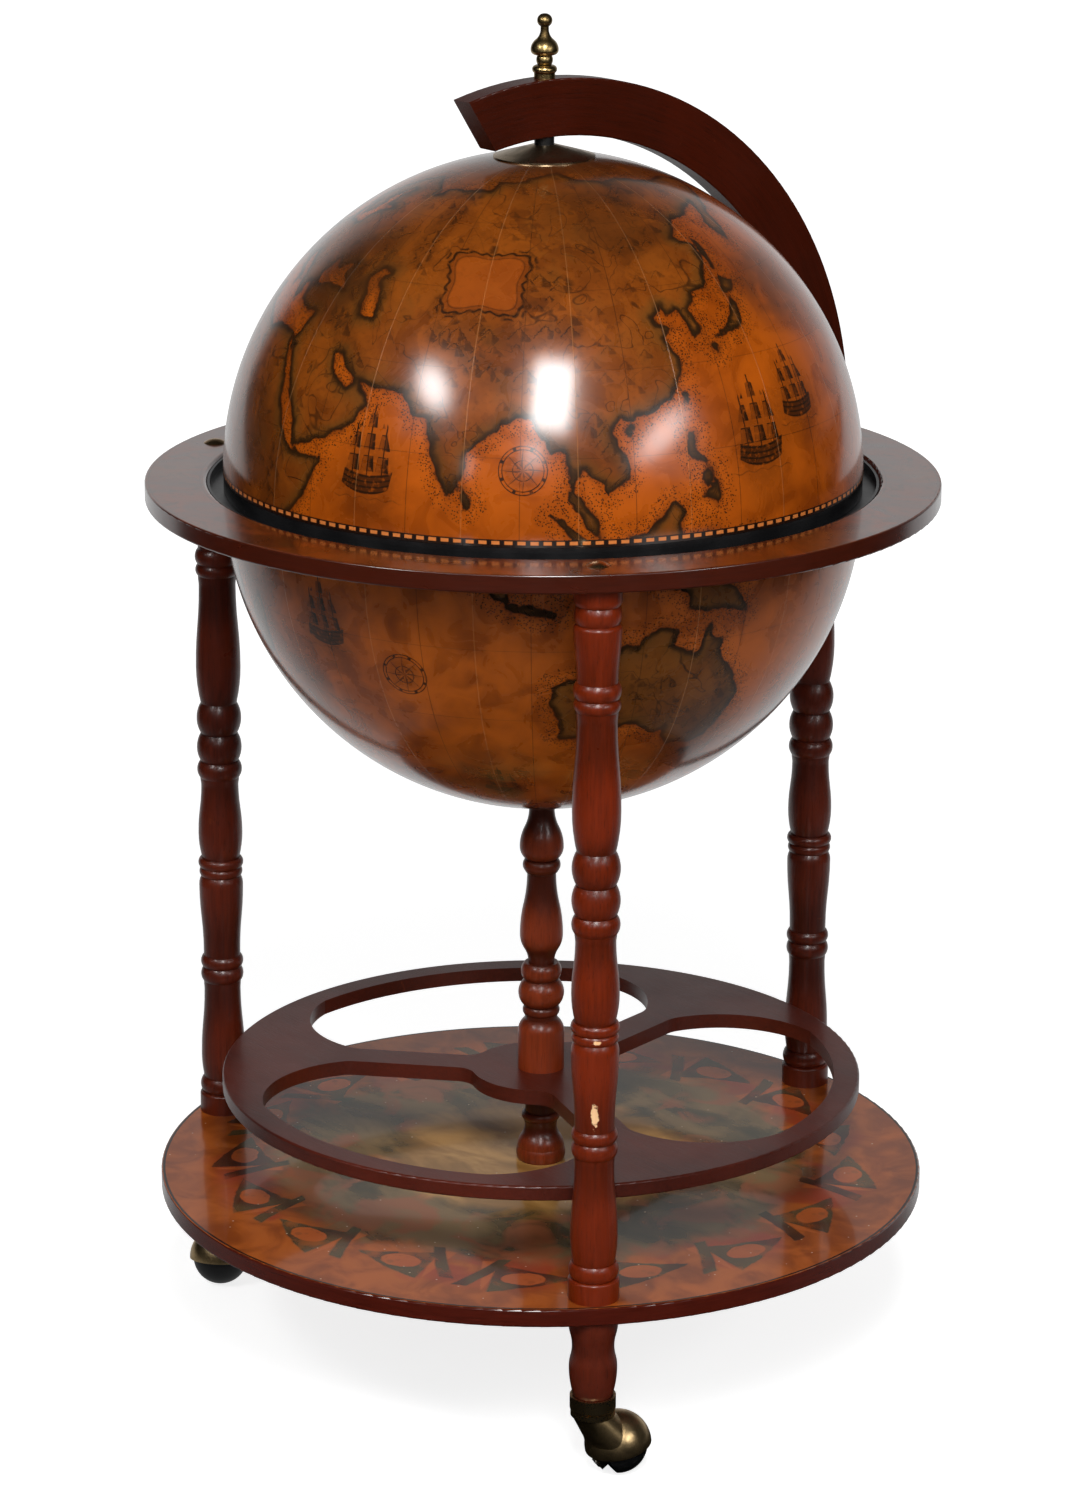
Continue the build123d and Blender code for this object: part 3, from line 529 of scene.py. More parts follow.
@dataclass(frozen=True)
class ShelfPrint(BoardPrint):
    """The base shelf, with a worn print of a wreath of leaves and medallions."""

    top: float = SHELF_TOP
    edge: tuple[Rgb, Rgb] = ((50, 14, 8), (84, 26, 15))
    lip: float = 0.45
    rim: float = 254.6
    wreath_radius: float = 205.0
    motifs: int = 17
    motif_scale: float = 1.5

    def motif(self, x: Value, y: Value, radius: Value) -> tuple[Signal, Signal, Signal]:
        """Draw the wreath's repeat.

        Args:
            x: place across.
            y: place front to back.
            radius: distance from the shelf's middle.

        Returns:
            The dark shapes, the pale ovals and the light darts, each from 0 to 1.
        """
        turn = work("ARCTAN2", y, x)
        pitch = 2 * math.pi / self.motifs
        along = repeat(turn, pitch) * self.wreath_radius
        number = work("ROUND", turn / pitch)
        chance = work("FRACT", abs(work("SINE", number * 12.9) * 43.7))
        flip = work("GREATER_THAN", chance, 0.45) * 2.0 - 1.0
        side = along * flip * (1 / self.motif_scale) + 3.0
        drop = radius - self.wreath_radius + chance * 12.0 - 4.0
        out = drop * (1 / self.motif_scale)
        wedge = (side + 23.0) * 0.42 - abs(out)
        wing = ease(wedge, -0.6, 0.8) * ease(side, 14.0, 12.6)
        squash = side * side * 0.0118 + out * out * 0.026
        oval = ease(squash, 1.15, 0.9)
        petals = cells(joined(side * 0.2, out * 0.2, 0.0), 1.0)
        rosette = oval * ease(petals, 0.5, 0.3) * ease(squash, 0.75, 0.6)
        slant = side + out * -0.5 - 20.0
        bar = line(slant, 6.5, 0.8) * line(out + 5.0, 30.0, 1.0)
        dart_width = (14.0 - out) * 0.17
        spread = dart_width - abs(side - 15.5)
        dart = ease(spread, -0.5, 0.6) * line(out + 2.0, 30.0, 1.0)
        dark = most(wing * (1.0 - oval), bar, rosette * 0.35)
        return dark, oval, dart * (1.0 - bar)

    def ground(self, place: Signal, radius: Signal) -> Signal:
        """Tint the field under the wreath: orange outside, olive within, sand in the middle."""
        mottle = noise(place, 0.03, 4.0, 1.0)
        orange = mix(ease(mottle, 0.3, 0.7), (124, 58, 18), (164, 84, 30))
        rouge = cloudy(place, 0.022, 2.0, 0.6, 0.46, 0.62)
        orange = mix(rouge * ease(radius, 236.0, 206.0) * 0.75, orange, (138, 50, 32))
        smears = noise(vector("MULTIPLY", place, (0.5, 1.0, 1.0)), 0.026, 4.0, 0.8)
        olive = mix(ease(smears, 0.34, 0.64), (58, 52, 32), (120, 96, 62))
        rust = cloudy(place, 0.024, 3.0, 0.8, 0.48, 0.64)
        olive = mix(rust * 0.75, olive, (144, 82, 52))
        sand = mix(ease(smears, 0.36, 0.64), (134, 96, 48), (184, 138, 78))
        ragged = radius + (mottle - 0.5) * 46.0
        return layered(orange, (ease(ragged, 194.0, 166.0), olive), (ease(ragged, 116.0, 86.0), sand))

    def paint(self, place: Signal) -> Inputs:
        """Lay the print on the top and stain the rest."""
        x, y, _ = split(place)
        reach = work("SQRT", x * x + y * y)
        radius = reach + wobble(place, 0.09, 2.0, 4.0)
        dark, oval, dart = self.motif(x, y, radius)
        ink = mix(ease(noise(place, 0.03, 2.0), 0.4, 0.6), (20, 24, 18), (50, 62, 42))
        worn = ease(noise(place, 0.05, 4.0), 0.3, 0.52)
        specks = ease(cells(place, 0.09), 0.07, 0.04)
        printed = layered(
            self.ground(place, radius),
            (dart * 0.7, (172, 88, 40)),
            (oval * 0.75, (164, 82, 38)),
            (dark * (0.35 + worn * 0.45), ink),
            (specks * 0.6, (214, 190, 160)),
            (line(reach - self.rim, 1.6, 0.4), (28, 14, 10)),
        )
        roughness = 0.1 + noise(place, 0.02, 4.0, 0.8) * 0.18
        colour = self.edged(place, printed)
        normal = bump(specks * 2.0, 0.02)
        return looks(colour, roughness, normal, specular=0.25, coat=0.45, coat_roughness=0.06)


@dataclass(frozen=True)
class GlobePrint(Finish):
    """An old-style map, inked and tinted on the globe and varnished over.

    Roses, ships and cartouches are each a longitude, a latitude and a size in millimetres. Dark
    patches are a longitude, a latitude, a radius in millimetres and a strength.
    """

    middle: float = 602.0
    radius: float = 209.0
    first_meridian: float = -132.1
    border: bool = True
    roses: tuple[Place, ...] = ()
    ships: tuple[Place, ...] = ()
    cartouches: tuple[Place, ...] = ()
    dark_patches: tuple[tuple[float, float, float, float], ...] = ()
    gore: float = 20.0
    band: float = 15.0
    dashes: int = 164
    squareness: float = 5.0
    sea: Rgb = (168, 78, 8)
    deep_sea: Rgb = (126, 54, 5)
    land: Rgb = (130, 65, 13)
    far_land: Rgb = (98, 46, 9)
    ink: Rgb = (36, 19, 7)

    def chart(self, place: Signal, spot: Spot) -> tuple[Signal, Signal, Signal]:
        """Lay a flat sheet on the globe round a spot.

        Args:
            place: the point, in millimetres, from the globe's middle.
            spot: longitude and latitude of the sheet's middle, in degrees.

        Returns:
            How far east and north of the spot, in millimetres, and 1 on its side of the globe.
        """
        turn = math.radians(spot[0] + self.first_meridian)
        rise = math.radians(spot[1])
        outward = (math.cos(rise) * math.cos(turn), math.cos(rise) * math.sin(turn), math.sin(rise))
        east = (-math.sin(turn), math.cos(turn), 0.0)
        north = (-math.sin(rise) * math.cos(turn), -math.sin(rise) * math.sin(turn), math.cos(rise))
        right, up, near = (vector("DOT_PRODUCT", place, way) for way in (east, north, outward))
        return right, up, work("GREATER_THAN", near, self.radius * 0.8)

    def rose(self, place: Signal, spot: Spot, size: float) -> Value:
        """Draw a compass rose of eight points in two rings."""
        right, up, near = self.chart(place, spot)
        reach = span(right, up)
        turn = work("ARCTAN2", up, right)
        fold = repeat(turn, math.pi / 4)
        star = size * 0.3 / (0.32 + abs(fold) * 2.6)
        depth = star - reach
        body = ease(depth, -0.2, 0.3) * work("GREATER_THAN", fold, 0.0) * 0.8
        rings = [line(reach - size * share, 0.7, 0.25) for share in (1.0, 0.86, 0.42)]
        spoke = line(repeat(turn + math.pi / 8, math.pi / 4), 0.16, 0.03)
        ticks = spoke * line(reach - size * 0.93, size * 0.14, 0.2)
        tint = ease(reach, size * 0.9, size * 0.6) * 0.3
        return most(body, line(depth, 0.6, 0.2), ticks, tint, *rings) * near

    def ship(self, place: Signal, spot: Spot, size: float) -> Value:
        """Draw a small three-masted ship under sail."""
        right, up, near = self.chart(place, spot)
        right, up = right * (10.0 / size), up * (10.0 / size)
        bend = right * right
        aside = abs(right)
        deck = ease(up + bend * -0.035 - 0.3, 0.25, -0.1)
        keel = ease(up + bend * -0.05 + 3.8, -0.1, 0.25)
        ends = ease(abs(right + up * -0.2), 6.0, 5.7)
        planks = line(repeat(up + bend * -0.03, 1.1), 0.3, 0.12)
        hull = deck * keel * ends * (0.78 + planks * 0.22)
        mast = repeat(right, 3.6)
        top = 15.0 + bend * -0.3 - up
        on_deck = ease(up, -0.2, 0.2) * ease(aside, 5.4, 5.2)
        poles = line(mast, 0.34, 0.12) * ease(top, 0.0, 0.4) * on_deck
        rung = work("FRACT", (up - 0.6) * 0.22)
        taper = 1.0 - up * 0.03
        spread = taper * (1.0 - rung * 0.2) * 1.85 - abs(mast)
        cloth = ease(spread, 0.0, 0.2) * ease(rung, 0.08, 0.13) * ease(rung, 0.86, 0.81)
        cloth = cloth * ease(top, 1.6, 1.9) * ease(up, 0.6, 0.9) * on_deck
        hems = most(line(spread, 0.5, 0.15), line(rung - 0.82, 0.09, 0.02))
        folds = ease(mast, -0.9, 1.4) * 0.45 + 0.5
        sails = cloth * most(folds, hems * 0.95)
        ripple = repeat(up, 1.5) + work("SINE", right * 1.7) * 0.25
        water = line(up + 4.4, 2.6, 0.4) * ease(aside, 10.0, 6.0) * 0.6
        waves = line(ripple, 0.3, 0.12) * water
        haze = ease(span(right, up * 0.8), 12.0, 3.0)
        return most(hull, poles, sails, waves, haze * 0.4) * near

    def cartouche(self, place: Signal, spot: Spot, size: float) -> tuple[Signal, Signal]:
        """Draw an empty scrolled frame.

        Returns:
            Its lines, and its light field, each from 0 to 1.
        """
        right, up, near = self.chart(place, spot)
        right, up = right * (10.0 / size), up * (10.0 / size)
        wide = work("POWER", abs(right * 0.118), self.squareness)
        tall = work("POWER", abs(up * 0.135), self.squareness)
        shape = work("POWER", wide + tall, 1 / self.squareness)
        turn = work("ARCTAN2", up, right)
        lobes = work("COSINE", turn * 4.0)
        curl = work("COSINE", turn * 20.0)
        edge = (shape - 1.0) * 8.0 + lobes * 0.55
        frame = edge + curl * 0.3
        corners = ease(lobes, 0.1, -0.5)
        scrolls = line(frame - 1.5, 0.6, 0.25) * corners * ease(curl, -0.4, 0.4)
        crest = line(right, 1.6, 0.5) * line(up - 8.8, 2.4, 0.4)
        outline = line(frame - 0.35, 0.7, 0.25)
        inner = line(edge + 0.9, 0.35, 0.2) * 0.7
        rim = line(frame + 0.3, 1.4, 0.4) * 0.35
        lines = most(outline, inner, rim, scrolls * 0.9, crest * 0.8)
        return lines * near, ease(edge, 0.3, -0.3) * near

    def graticule(self, place: Signal) -> tuple[Signal, Signal]:
        """Draw the meridians and parallels, and the joins between the gores.

        Returns:
            The printed lines and the joins, each from 0 to 1.
        """
        x, y, z = split(place)
        level = span(x, y)
        east = work("ARCTAN2", y, x) - math.radians(self.first_meridian)
        north = work("ARCTAN2", z, level)
        gore, band = math.radians(self.gore), math.radians(self.band)
        meridian = repeat(east + gore / 2, gore) * level
        parallel = repeat(north, band) * self.radius
        join = repeat(east, gore) * level
        printed = most(line(meridian, 0.45, 0.2), line(parallel, 0.4, 0.2) * 0.7)
        return printed, line(join, 0.6, 0.25)

    def hills(self, place: Signal, gap: float, size: float, share: float) -> Value:
        """Scatter little drawn hills.

        Args:
            place: the point, in millimetres, from the globe's middle.
            gap: the distance from hill to hill, in millimetres.
            size: a hill's height, in millimetres.
            share: how many of the places have a hill, from 0 to 1.

        Returns:
            The hills' ink, from 0 to 1.
        """
        spots = scatter(place, 1 / gap)
        x, y, _ = split(place)
        east = vector("NORMALIZE", joined(y * -1.0, x, 0.0))
        north = vector("NORMALIZE", vector("CROSS_PRODUCT", place, east))
        offset = scaled(vector("SUBTRACT", place, Signal(spots.outputs["Position"])), 1 / size)
        right, up = (vector("DOT_PRODUCT", offset, way) for way in (east, north))
        crag = wobble(place, 0.7, 3.0, 0.7)
        slope = up + abs(right) * 1.1 + crag - 0.55
        foot = ease(abs(right), 1.15, 0.85) * ease(up, -0.75, -0.55)
        stroke = line(slope, 0.16, 0.08)
        shade = ease(slope, 0.05, -0.1) * ease(right, -0.05, 0.25) * 0.8
        chosen = work("LESS_THAN", tone(spots), share)
        return most(stroke, shade) * foot * chosen

    def ground(self, place: Signal, shore: Signal, ashore: Signal) -> Signal:
        """Tint the sea and the land, and shade the land along its coast."""
        cloud = noise(place, 0.011, 3.0, 0.6)
        mottle = noise(place, 0.05, 4.0, 0.8)
        blotch = noise(place, 0.022, 3.0, 1.6)
        grit = noise(place, 0.32, 4.0, 0.5)
        depth = cloud * 0.6 + mottle * 0.4
        sea = mix(ease(depth, 0.36, 0.62), self.deep_sea, self.sea)
        drift = joined(mottle * 34.0, blotch * 40.0, grit * 8.0)
        province = tone(scatter(vector("ADD", place, drift), 0.03))
        richness = province * 0.22 + mottle * 0.5 + blotch * 0.45
        country = layered(
            mix(ease(richness, 0.36, 0.78), self.far_land, self.land),
            (ease(blotch, 0.5, 0.75) * 0.5, (100, 58, 18)),
            (ease(grit, 0.5, 0.72) * 0.35, (62, 32, 9)),
        )
        polar = ease(split(place)[2], 176.0, 198.0) * 0.85
        inland = ease(shore, 12.0, 1.0) * ashore * (0.35 + mottle * 0.7)
        brink = ease(shore, 4.6, 0.9) * ashore * (0.55 + blotch * 0.8)
        swell = ease(shore, -5.0, -0.5) * (1.0 - ashore) * ease(mottle, 0.35, 0.65)
        return layered(
            mix(most(ashore, polar), sea, country),
            (inland, (86, 54, 18)),
            (brink, (42, 25, 9)),
            (swell * 0.7, (96, 42, 7)),
        )

    def relief(self, place: Signal, shore: Signal, ashore: Signal) -> Value:
        """Draw the hills, ranges and rivers, and the dots off the coast."""
        heights = read(place.tree, "ShaderNodeAttribute", "Fac", attribute_name="heights")
        near_range = ease(heights, 11.0, 5.0)
        ranges = most(self.hills(place, 12.0, 8.0, 0.95), 0.3) * near_range * 0.95
        scattered = self.hills(place, 15.0, 5.0, 0.45) * 0.6
        bends = noise(place, 0.026, 2.0, 0.9) - 0.5
        rivers = line(bends, 0.009, 0.005) * 0.8
        inland = most(ranges, scattered, rivers) * ashore * ease(shore, 1.0, 3.0)
        dots = ease(cells(place, 0.7), 0.42, 0.28)
        offing = ease(shore, -18.0, -1.0) * (1.0 - ashore)
        sparse = ease(noise(place, 0.8, 1.0) * 0.9 + offing, 0.82, 1.0)
        return most(inland, dots * sparse * 0.95)

    def drawings(self, place: Signal, ink: Value) -> tuple[Value, Value]:
        """Draw the cartouches, roses and ships over the rest.

        Returns:
            The ink, and the cartouches' fields, each from 0 to 1.
        """
        blanks: Value = 0.0
        for east, north, size in self.cartouches:
            lines, blank = self.cartouche(place, (east, north), size)
            ink = most(ink * (1.0 - blank), lines)
            blanks = most(blanks, blank)
        for east, north, size in self.roses:
            ink = most(ink, self.rose(place, (east, north), size))
        for east, north, size in self.ships:
            ink = ink + self.ship(place, (east, north), size) * 1.2
        return ink, blanks

    def darken_patches(self, place: Signal, colour: Signal) -> Signal:
        """Darken the print in patches round given spots."""
        ragged = noise(place, 0.03, 4.0, 1.0)
        for east, north, size, strength in self.dark_patches:
            right, up, near = self.chart(place, (east, north))
            reach = span(right, up)
            spread = reach + ragged * size - 0.5 * size
            mask = ease(spread, size, size * 0.3) * near * strength
            colour = mix(mask * ease(ragged, 0.2, 0.5), colour, (62, 34, 14))
        return colour

    def paint(self, place: Signal) -> Inputs:
        """Ink and tint the map, and varnish it."""
        place = vector("SUBTRACT", place, (0.0, 0.0, self.middle))
        coast = read(place.tree, "ShaderNodeAttribute", "Fac", attribute_name="coast")
        shore = coast + wobble(place, 0.12, 4.0, 7.0)
        ashore = ease(shore, -0.3, 0.3)
        printed, join = self.graticule(place)
        outline = line(shore, 1.3, 0.4) * 0.9
        ink = most(outline, printed * 0.75, self.relief(place, shore, ashore))
        ink, blanks = self.drawings(place, ink)
        worn = ease(noise(place, 0.35, 3.0), 0.24, 0.5)
        colour = layered(
            self.ground(place, shore, ashore),
            (blanks * 0.45, (148, 66, 14)),
            (ink * (0.5 + worn * 0.45), self.ink),
            (join * 0.2, (206, 138, 78)),
        )
        colour = self.darken_patches(place, colour)
        if self.border:
            colour = self.edged(place, colour)
        mottle = noise(place, 0.05, 4.0, 0.8)
        normal = bump(join * 2.2 + mottle * 0.3, 0.08)
        return looks(colour, 0.2 + mottle * 0.16, normal, specular=0.2, coat=1.0, coat_roughness=0.135)

    def edged(self, place: Signal, colour: Signal) -> Signal:
        """Add the scale of light and dark dashes along the rim."""
        x, y, z = split(place)
        dash = repeat(work("ARCTAN2", y, x), 2 * math.pi / self.dashes) * self.radius
        cell = line(dash, 5.0, 0.3) * line(z - 2.7, 2.2, 0.25)
        return layered(colour, (ease(z, 5.0, 4.4), (24, 13, 8)), (cell, (200, 116, 56)))


@dataclass(frozen=True)
class ShellLining(Finish):
    """The inside of the globe: plain paper, mottled with age."""

    def paint(self, place: Signal) -> Inputs:
        """Mottle the paper."""
        fibre = noise(place, 0.35, 3.0)
        paper = mix(cloudy(place, 0.014, 4.0, 0.8, 0.34, 0.66), (104, 66, 34), (158, 112, 64))
        foxing = ease(noise(place, 0.09, 3.0), 0.62, 0.74)
        return looks(mix(foxing * 0.5, paper, (78, 44, 22)), 0.42 + fibre * 0.2, bump(fibre, 0.05))


@dataclass(frozen=True)
class AgedBrass(Finish):
    """Cast brass, browned in its hollows and rubbed bright on its edges."""

    bright: Rgb = (128, 106, 70)
    brown: Rgb = (44, 34, 22)
    axes: tuple[Place, ...] = ()
    waist: float = 2.6
    full: float = 6.4

    def paint(self, place: Signal) -> Inputs:
        """Brown the metal where it is not rubbed."""
        patina = noise(place, 0.12, 4.0, 0.6)
        speckle = noise(place, 0.9, 3.0)
        worn_edges = read(place.tree, "ShaderNodeNewGeometry", "Pointiness")
        rubbed = patina * 0.8 + speckle * 0.25 + (worn_edges - 0.5) * 3.0
        if self.axes:
            proud = ease(from_axes(place, self.axes), self.waist, self.full)
            rubbed = rubbed * (0.45 + proud * 0.75)
        blend = ease(rubbed, 0.22, 0.72)
        roughness = 0.42 - blend * 0.18 + speckle * 0.08
        normal = bump(patina + speckle * 0.4, 0.08)
        return looks(mix(blend, self.brown, self.bright), roughness, normal, metallic=1.0)


@dataclass(frozen=True)
class BlackLacquer(Finish):
    """Black lacquer, satin, with a little dust in it."""

    shade: Rgb = (17, 17, 18)
    gloss: float = 0.28

    def paint(self, place: Signal) -> Inputs:
        """Vary the black a little."""
        dust = noise(place, 0.25, 3.0)
        cloud = noise(place, 0.03, 3.0)
        colour = mix(ease(cloud, 0.35, 0.7), self.shade, tuple(part + 12 for part in self.shade))
        return looks(colour, self.gloss + dust * 0.1, bump(cloud, 0.05))


@dataclass(frozen=True)
class ZincSteel(Finish):
    """Plain zinc-plated steel."""

    def paint(self, place: Signal) -> Inputs:
        """Cloud the plating."""
        cloud = noise(place, 0.2, 4.0)
        colour = mix(cloud, (132, 132, 128), (196, 196, 190))
        return looks(colour, 0.28 + cloud * 0.2, bump(cloud, 0.04), metallic=1.0)


# ---------------------------------------------------------------- the map
LANDS: dict[str, str] = {
    "eurasia": (
        "-9,37 -9,43 -2,43.5 -1.5,46.5 -4.5,48.5 1.5,50.5 4,52 8,54 8,57 10.5,57.5 11,54 14,54 19,54.5 "
        "21,57.5 24,59 29,60 22,60 21.5,63 25,65.5 21.5,65.5 17,61.5 18.5,60 16.5,57 13,55.5 11,59 7,58 "
        "5,61 11,65 16,69 25,71 31,70 41,67 40,66 44,66.5 44,68.5 54,68.5 60,69 68,69 67,72.5 73,72.5 "
        "80,73 90,75.5 104,77.5 113,74 128,72.5 140,73 160,70 170,69.5 180,69 190,66 187,64.5 178,62.5 "
        "170,60 163,58 162.5,56 157,51 155.5,56 163,61.5 156,61 150,59.5 142,59 135.5,54.5 141,53 "
        "140,48.5 135,43.5 131,43 127.5,39.5 129.5,36 126.5,34.5 126,37.5 124.5,40 121.5,39 121,41 "
        "118,39 119,37.5 122.5,37 119.5,35 122,31 121.5,28.5 118.5,24.5 114,22.3 110,21 108,21.5 106,19 "
        "109,14 109,11.5 106.5,10 105,8.7 104.5,10.5 102.5,12 101,13.3 99.5,11.5 99.5,9.3 101,7 103.3,5 "
        "103.5,1.5 101.5,2.8 100.3,5.5 98.3,8.2 98.5,12 97.5,16.5 95.2,15.9 94.2,17.5 92,21.5 89,21.8 "
        "87,20.8 84,18.5 80.5,15.5 80,12 77.5,8.1 76,10.5 74.5,14 72.8,19 72.5,21 70,21 69,22.5 67,25 "
        "61.5,25.2 57,25.8 54,26.7 50.5,30 48.5,30 49.5,27 51.5,25.5 54,24.2 56.4,26 59.8,22.4 57.8,19 "
        "55,17 52,15.6 45,13 43.3,12.8 42.7,16.5 39,21.5 35,28 34.8,29.5 34,28 32.6,30 34.5,31.5 36,36 "
        "32,36 27.5,37 26.5,40 29,41 35,42 41,41.2 37,45 39,47 35,46 33.5,44.5 30.5,46.5 28,43 28.5,41.3 "
        "26,40.7 23.5,40 24,38 22.5,36.6 21,38.5 19.3,42 13.7,45.5 12.5,44.3 14,42.5 18.3,40 16.5,39.8 "
        "16,38 15.5,40 12,42 8.5,44.3 3.5,43.3 0,39.5 -2,36.8 -5.5,36.1"
    ),
    "africa": (
        "-6,35.8 0,36 10,37.3 11,34 20,30.5 25,31.7 32.2,31.3 32.6,29.9 35.5,24 37.3,19 39.5,15.3 "
        "43.2,11.8 51.2,11.8 48,5 42,-1.5 39.3,-6 40.6,-14.5 35,-20 35.5,-24 32.8,-27 28,-33 20,-34.8 "
        "18.3,-33 15,-27 12,-17 13.5,-12 12,-5 9,-1 9.5,4 4.5,6.3 -2,4.8 -7.5,4.4 -13,8.5 -16.8,13 "
        "-16.3,19 -14.5,26 -9.8,30"
    ),
    "madagascar": "49.3,-12 50.4,-15.5 47.2,-24.9 44,-25 43.5,-21.5 44.4,-16.3",
    "sri_lanka": "80,9.7 81.8,7.5 80.6,6 79.8,8",
    "sumatra": "95.3,5.6 98,4.2 100.5,2 103.5,-1 106,-3 105.8,-5.8 104,-5.5 101,-2.5 98.5,1.7",
    "java": "105.3,-6.8 106.8,-6 110.5,-6.5 114.4,-7.8 114.3,-8.7 108,-7.8",
    "borneo": "109,1.5 111.3,1.6 113.5,3.3 116.8,7 119,5.2 117.6,3 118.5,1 116,-4 112,-3.4 110.2,-1.5",
    "sulawesi": (
        "119.5,-5.5 119.3,-1 120,1 125,1.5 121,0.3 120.5,-1.2 123,-1 121.7,-2 122.5,-4.8 121,-3 120.5,-5.5"
    ),
    "luzon": "120.5,18.5 122.2,18.3 121.6,15.5 124,13 120.7,14 120.2,16",
    "mindanao": "122,7 125.5,9.7 126.3,7 125.3,5.8 124,7.2",
    "visayas": "122.5,11.5 125,12.3 124.5,10 122.8,9.5",
    "taiwan": "121,25.2 122,24.8 120.9,22",
    "hainan": "108.7,19.3 110.6,20 109.5,18.2",
    "honshu": "131,34 135.5,35.5 138.5,37.5 141.4,41.3 142,39.5 140.8,35.8 137,34.6 133,34.3",
    "kyushu": "130,33.5 132,33.5 131.2,31.2 130,32",
    "hokkaido": "140,42 141.8,45.4 145.3,43.5 143,42",
    "sakhalin": "142,46.5 142,54 143.5,53 143,49",
    "new_guinea": (
        "131,-0.8 134,-0.8 135,-3.3 138,-1.7 144.5,-3.9 147.5,-6 150.5,-10.5 147,-9.5 143,-9 138,-8.2 "
        "137.8,-5.3 133,-4"
    ),
    "australia": (
        "114,-22 113.5,-26 115.8,-32 115.2,-34.2 118,-35 123.5,-33.9 129,-31.6 131.2,-31.5 135.5,-34.8 "
        "137.8,-33 138,-35.5 140,-38 144.5,-38.3 147,-38.8 150,-37.3 151.5,-33 153.4,-28.2 150.8,-23.3 "
        "146.3,-19 145.3,-15 143.5,-14.3 142.5,-10.8 141.6,-14 140.8,-17.5 137.5,-16 135.5,-14.8 "
        "136.8,-12.2 132.5,-11.3 130.6,-12.5 129,-14.9 126.7,-14 122.2,-18 119,-20"
    ),
    "tasmania": "144.8,-40.8 148.2,-40.9 147,-43.5",
    "north_island": "173,-34.6 175.8,-36.8 178.3,-37.7 175.3,-41.5 174.6,-39",
    "south_island": "172.7,-40.6 174,-42 171,-45 168.4,-46.6 166.7,-45.8 170.5,-43",
    "britain": "-5,50.2 1.3,51.2 0.3,53 -2,56 -3.5,58.6 -5.5,57.5 -3,54 -4.5,53 -3,51.6",
    "ireland": "-6.3,52.3 -6,54.5 -8.5,55.2 -10,53 -9.5,51.8",
    "iceland": "-22,64 -14,64.5 -15,66.3 -23.5,66",
    "greenland": "-45,60 -40,65 -22,70.5 -19,77 -30,83 -60,82 -70,77 -55,70 -52,65",
    "north_america": (
        "-168,65.7 -157,71 -141,69.7 -128,70 -115,68 -95,68 -94,60 -82,55 -79,52 -79,58 -78,62 -66,59 "
        "-57,53 -60,50 -66,50 -64.5,46.5 -60,46.5 -66,43.5 -70.5,42.5 -75.5,37 -76,34.8 -81.3,31 -80,26 "
        "-82,27.5 -84,30 -90,29.3 -97.3,27.5 -97,21.5 -94.5,18.2 -90.5,20.8 -87,21.3 -88.5,16 -83.3,15 "
        "-83.5,10.5 -79.5,9.5 -80.5,7.8 -85.5,10.3 -94,16 -105.5,20.5 -112.5,31 -110,23.2 -117,32.5 "
        "-121,35 -124.3,40.5 -124,47 -130,54 -140,60 -151,60 -160,55.5 -165,61"
    ),
    "south_america": (
        "-77.5,8.5 -72,12 -62,10.6 -51.5,4 -44.5,-2.5 -35.2,-6 -39,-14 -41,-22 -48.5,-27 -54,-34 -58,-38 "
        "-65,-41 -68.8,-51.5 -68,-55 -74,-51 -73.5,-42 -71.5,-30 -70.3,-18.3 -76.3,-13.5 -81.2,-5.5 "
        "-80,1 -77.3,4"
    ),
    "cuba": "-84.5,22 -80,23 -74.5,20.2 -78,20.5",
    "antarctica": (
        "-180,-78 -150,-77 -120,-74 -75,-73 -60,-64 -60,-75 -30,-76 0,-70 50,-67 90,-66 140,-66.5 "
        "170,-71 180,-78 180,-90 -180,-90"
    ),
}
LAKES: dict[str, str] = {"caspian": "47,44.5 50,47 53,46.5 51,44.5 53.5,41 54,37.2 50,37.3 48.5,42"}
RANGES: dict[str, str] = {
    "himalaya": "71,36 76,34.5 80,31 85,28.3 91,28 96,29",
    "kunlun": "76,37 84,36 92,36 100,38",
    "tien_shan": "70,41 78,42.5 86,43.5 95,43",
    "altai": "86,50 92,48 98,46",
    "urals": "60,67 59,60 58,54 59,50",
    "caucasus": "38,44.5 44,42.8 48,41",
    "zagros": "44,37 48,34 52,30 56,28",
    "ghats": "74,20 75,15 77,10",
    "annam": "103,21 105,18 108,14",
    "stanovoy": "116,54 124,56 132,56 138,60",
    "verkhoyansk": "128,66 132,70 140,68",
    "alps": "6,45 10,46.5 15,47",
    "atlas": "-8,31 -2,34 8,35.5",
    "rift": "36,-6 37,0 39,7 40,12",
    "rockies": "-135,62 -122,52 -114,46 -106,38 -105,30",
    "andes": "-74,8 -78,-2 -76,-12 -69,-20 -70,-32 -72,-46",
    "great_divide": "145,-17 149,-24 151,-30 148,-36",
    "macdonnell": "130,-24 136,-23.5",
}


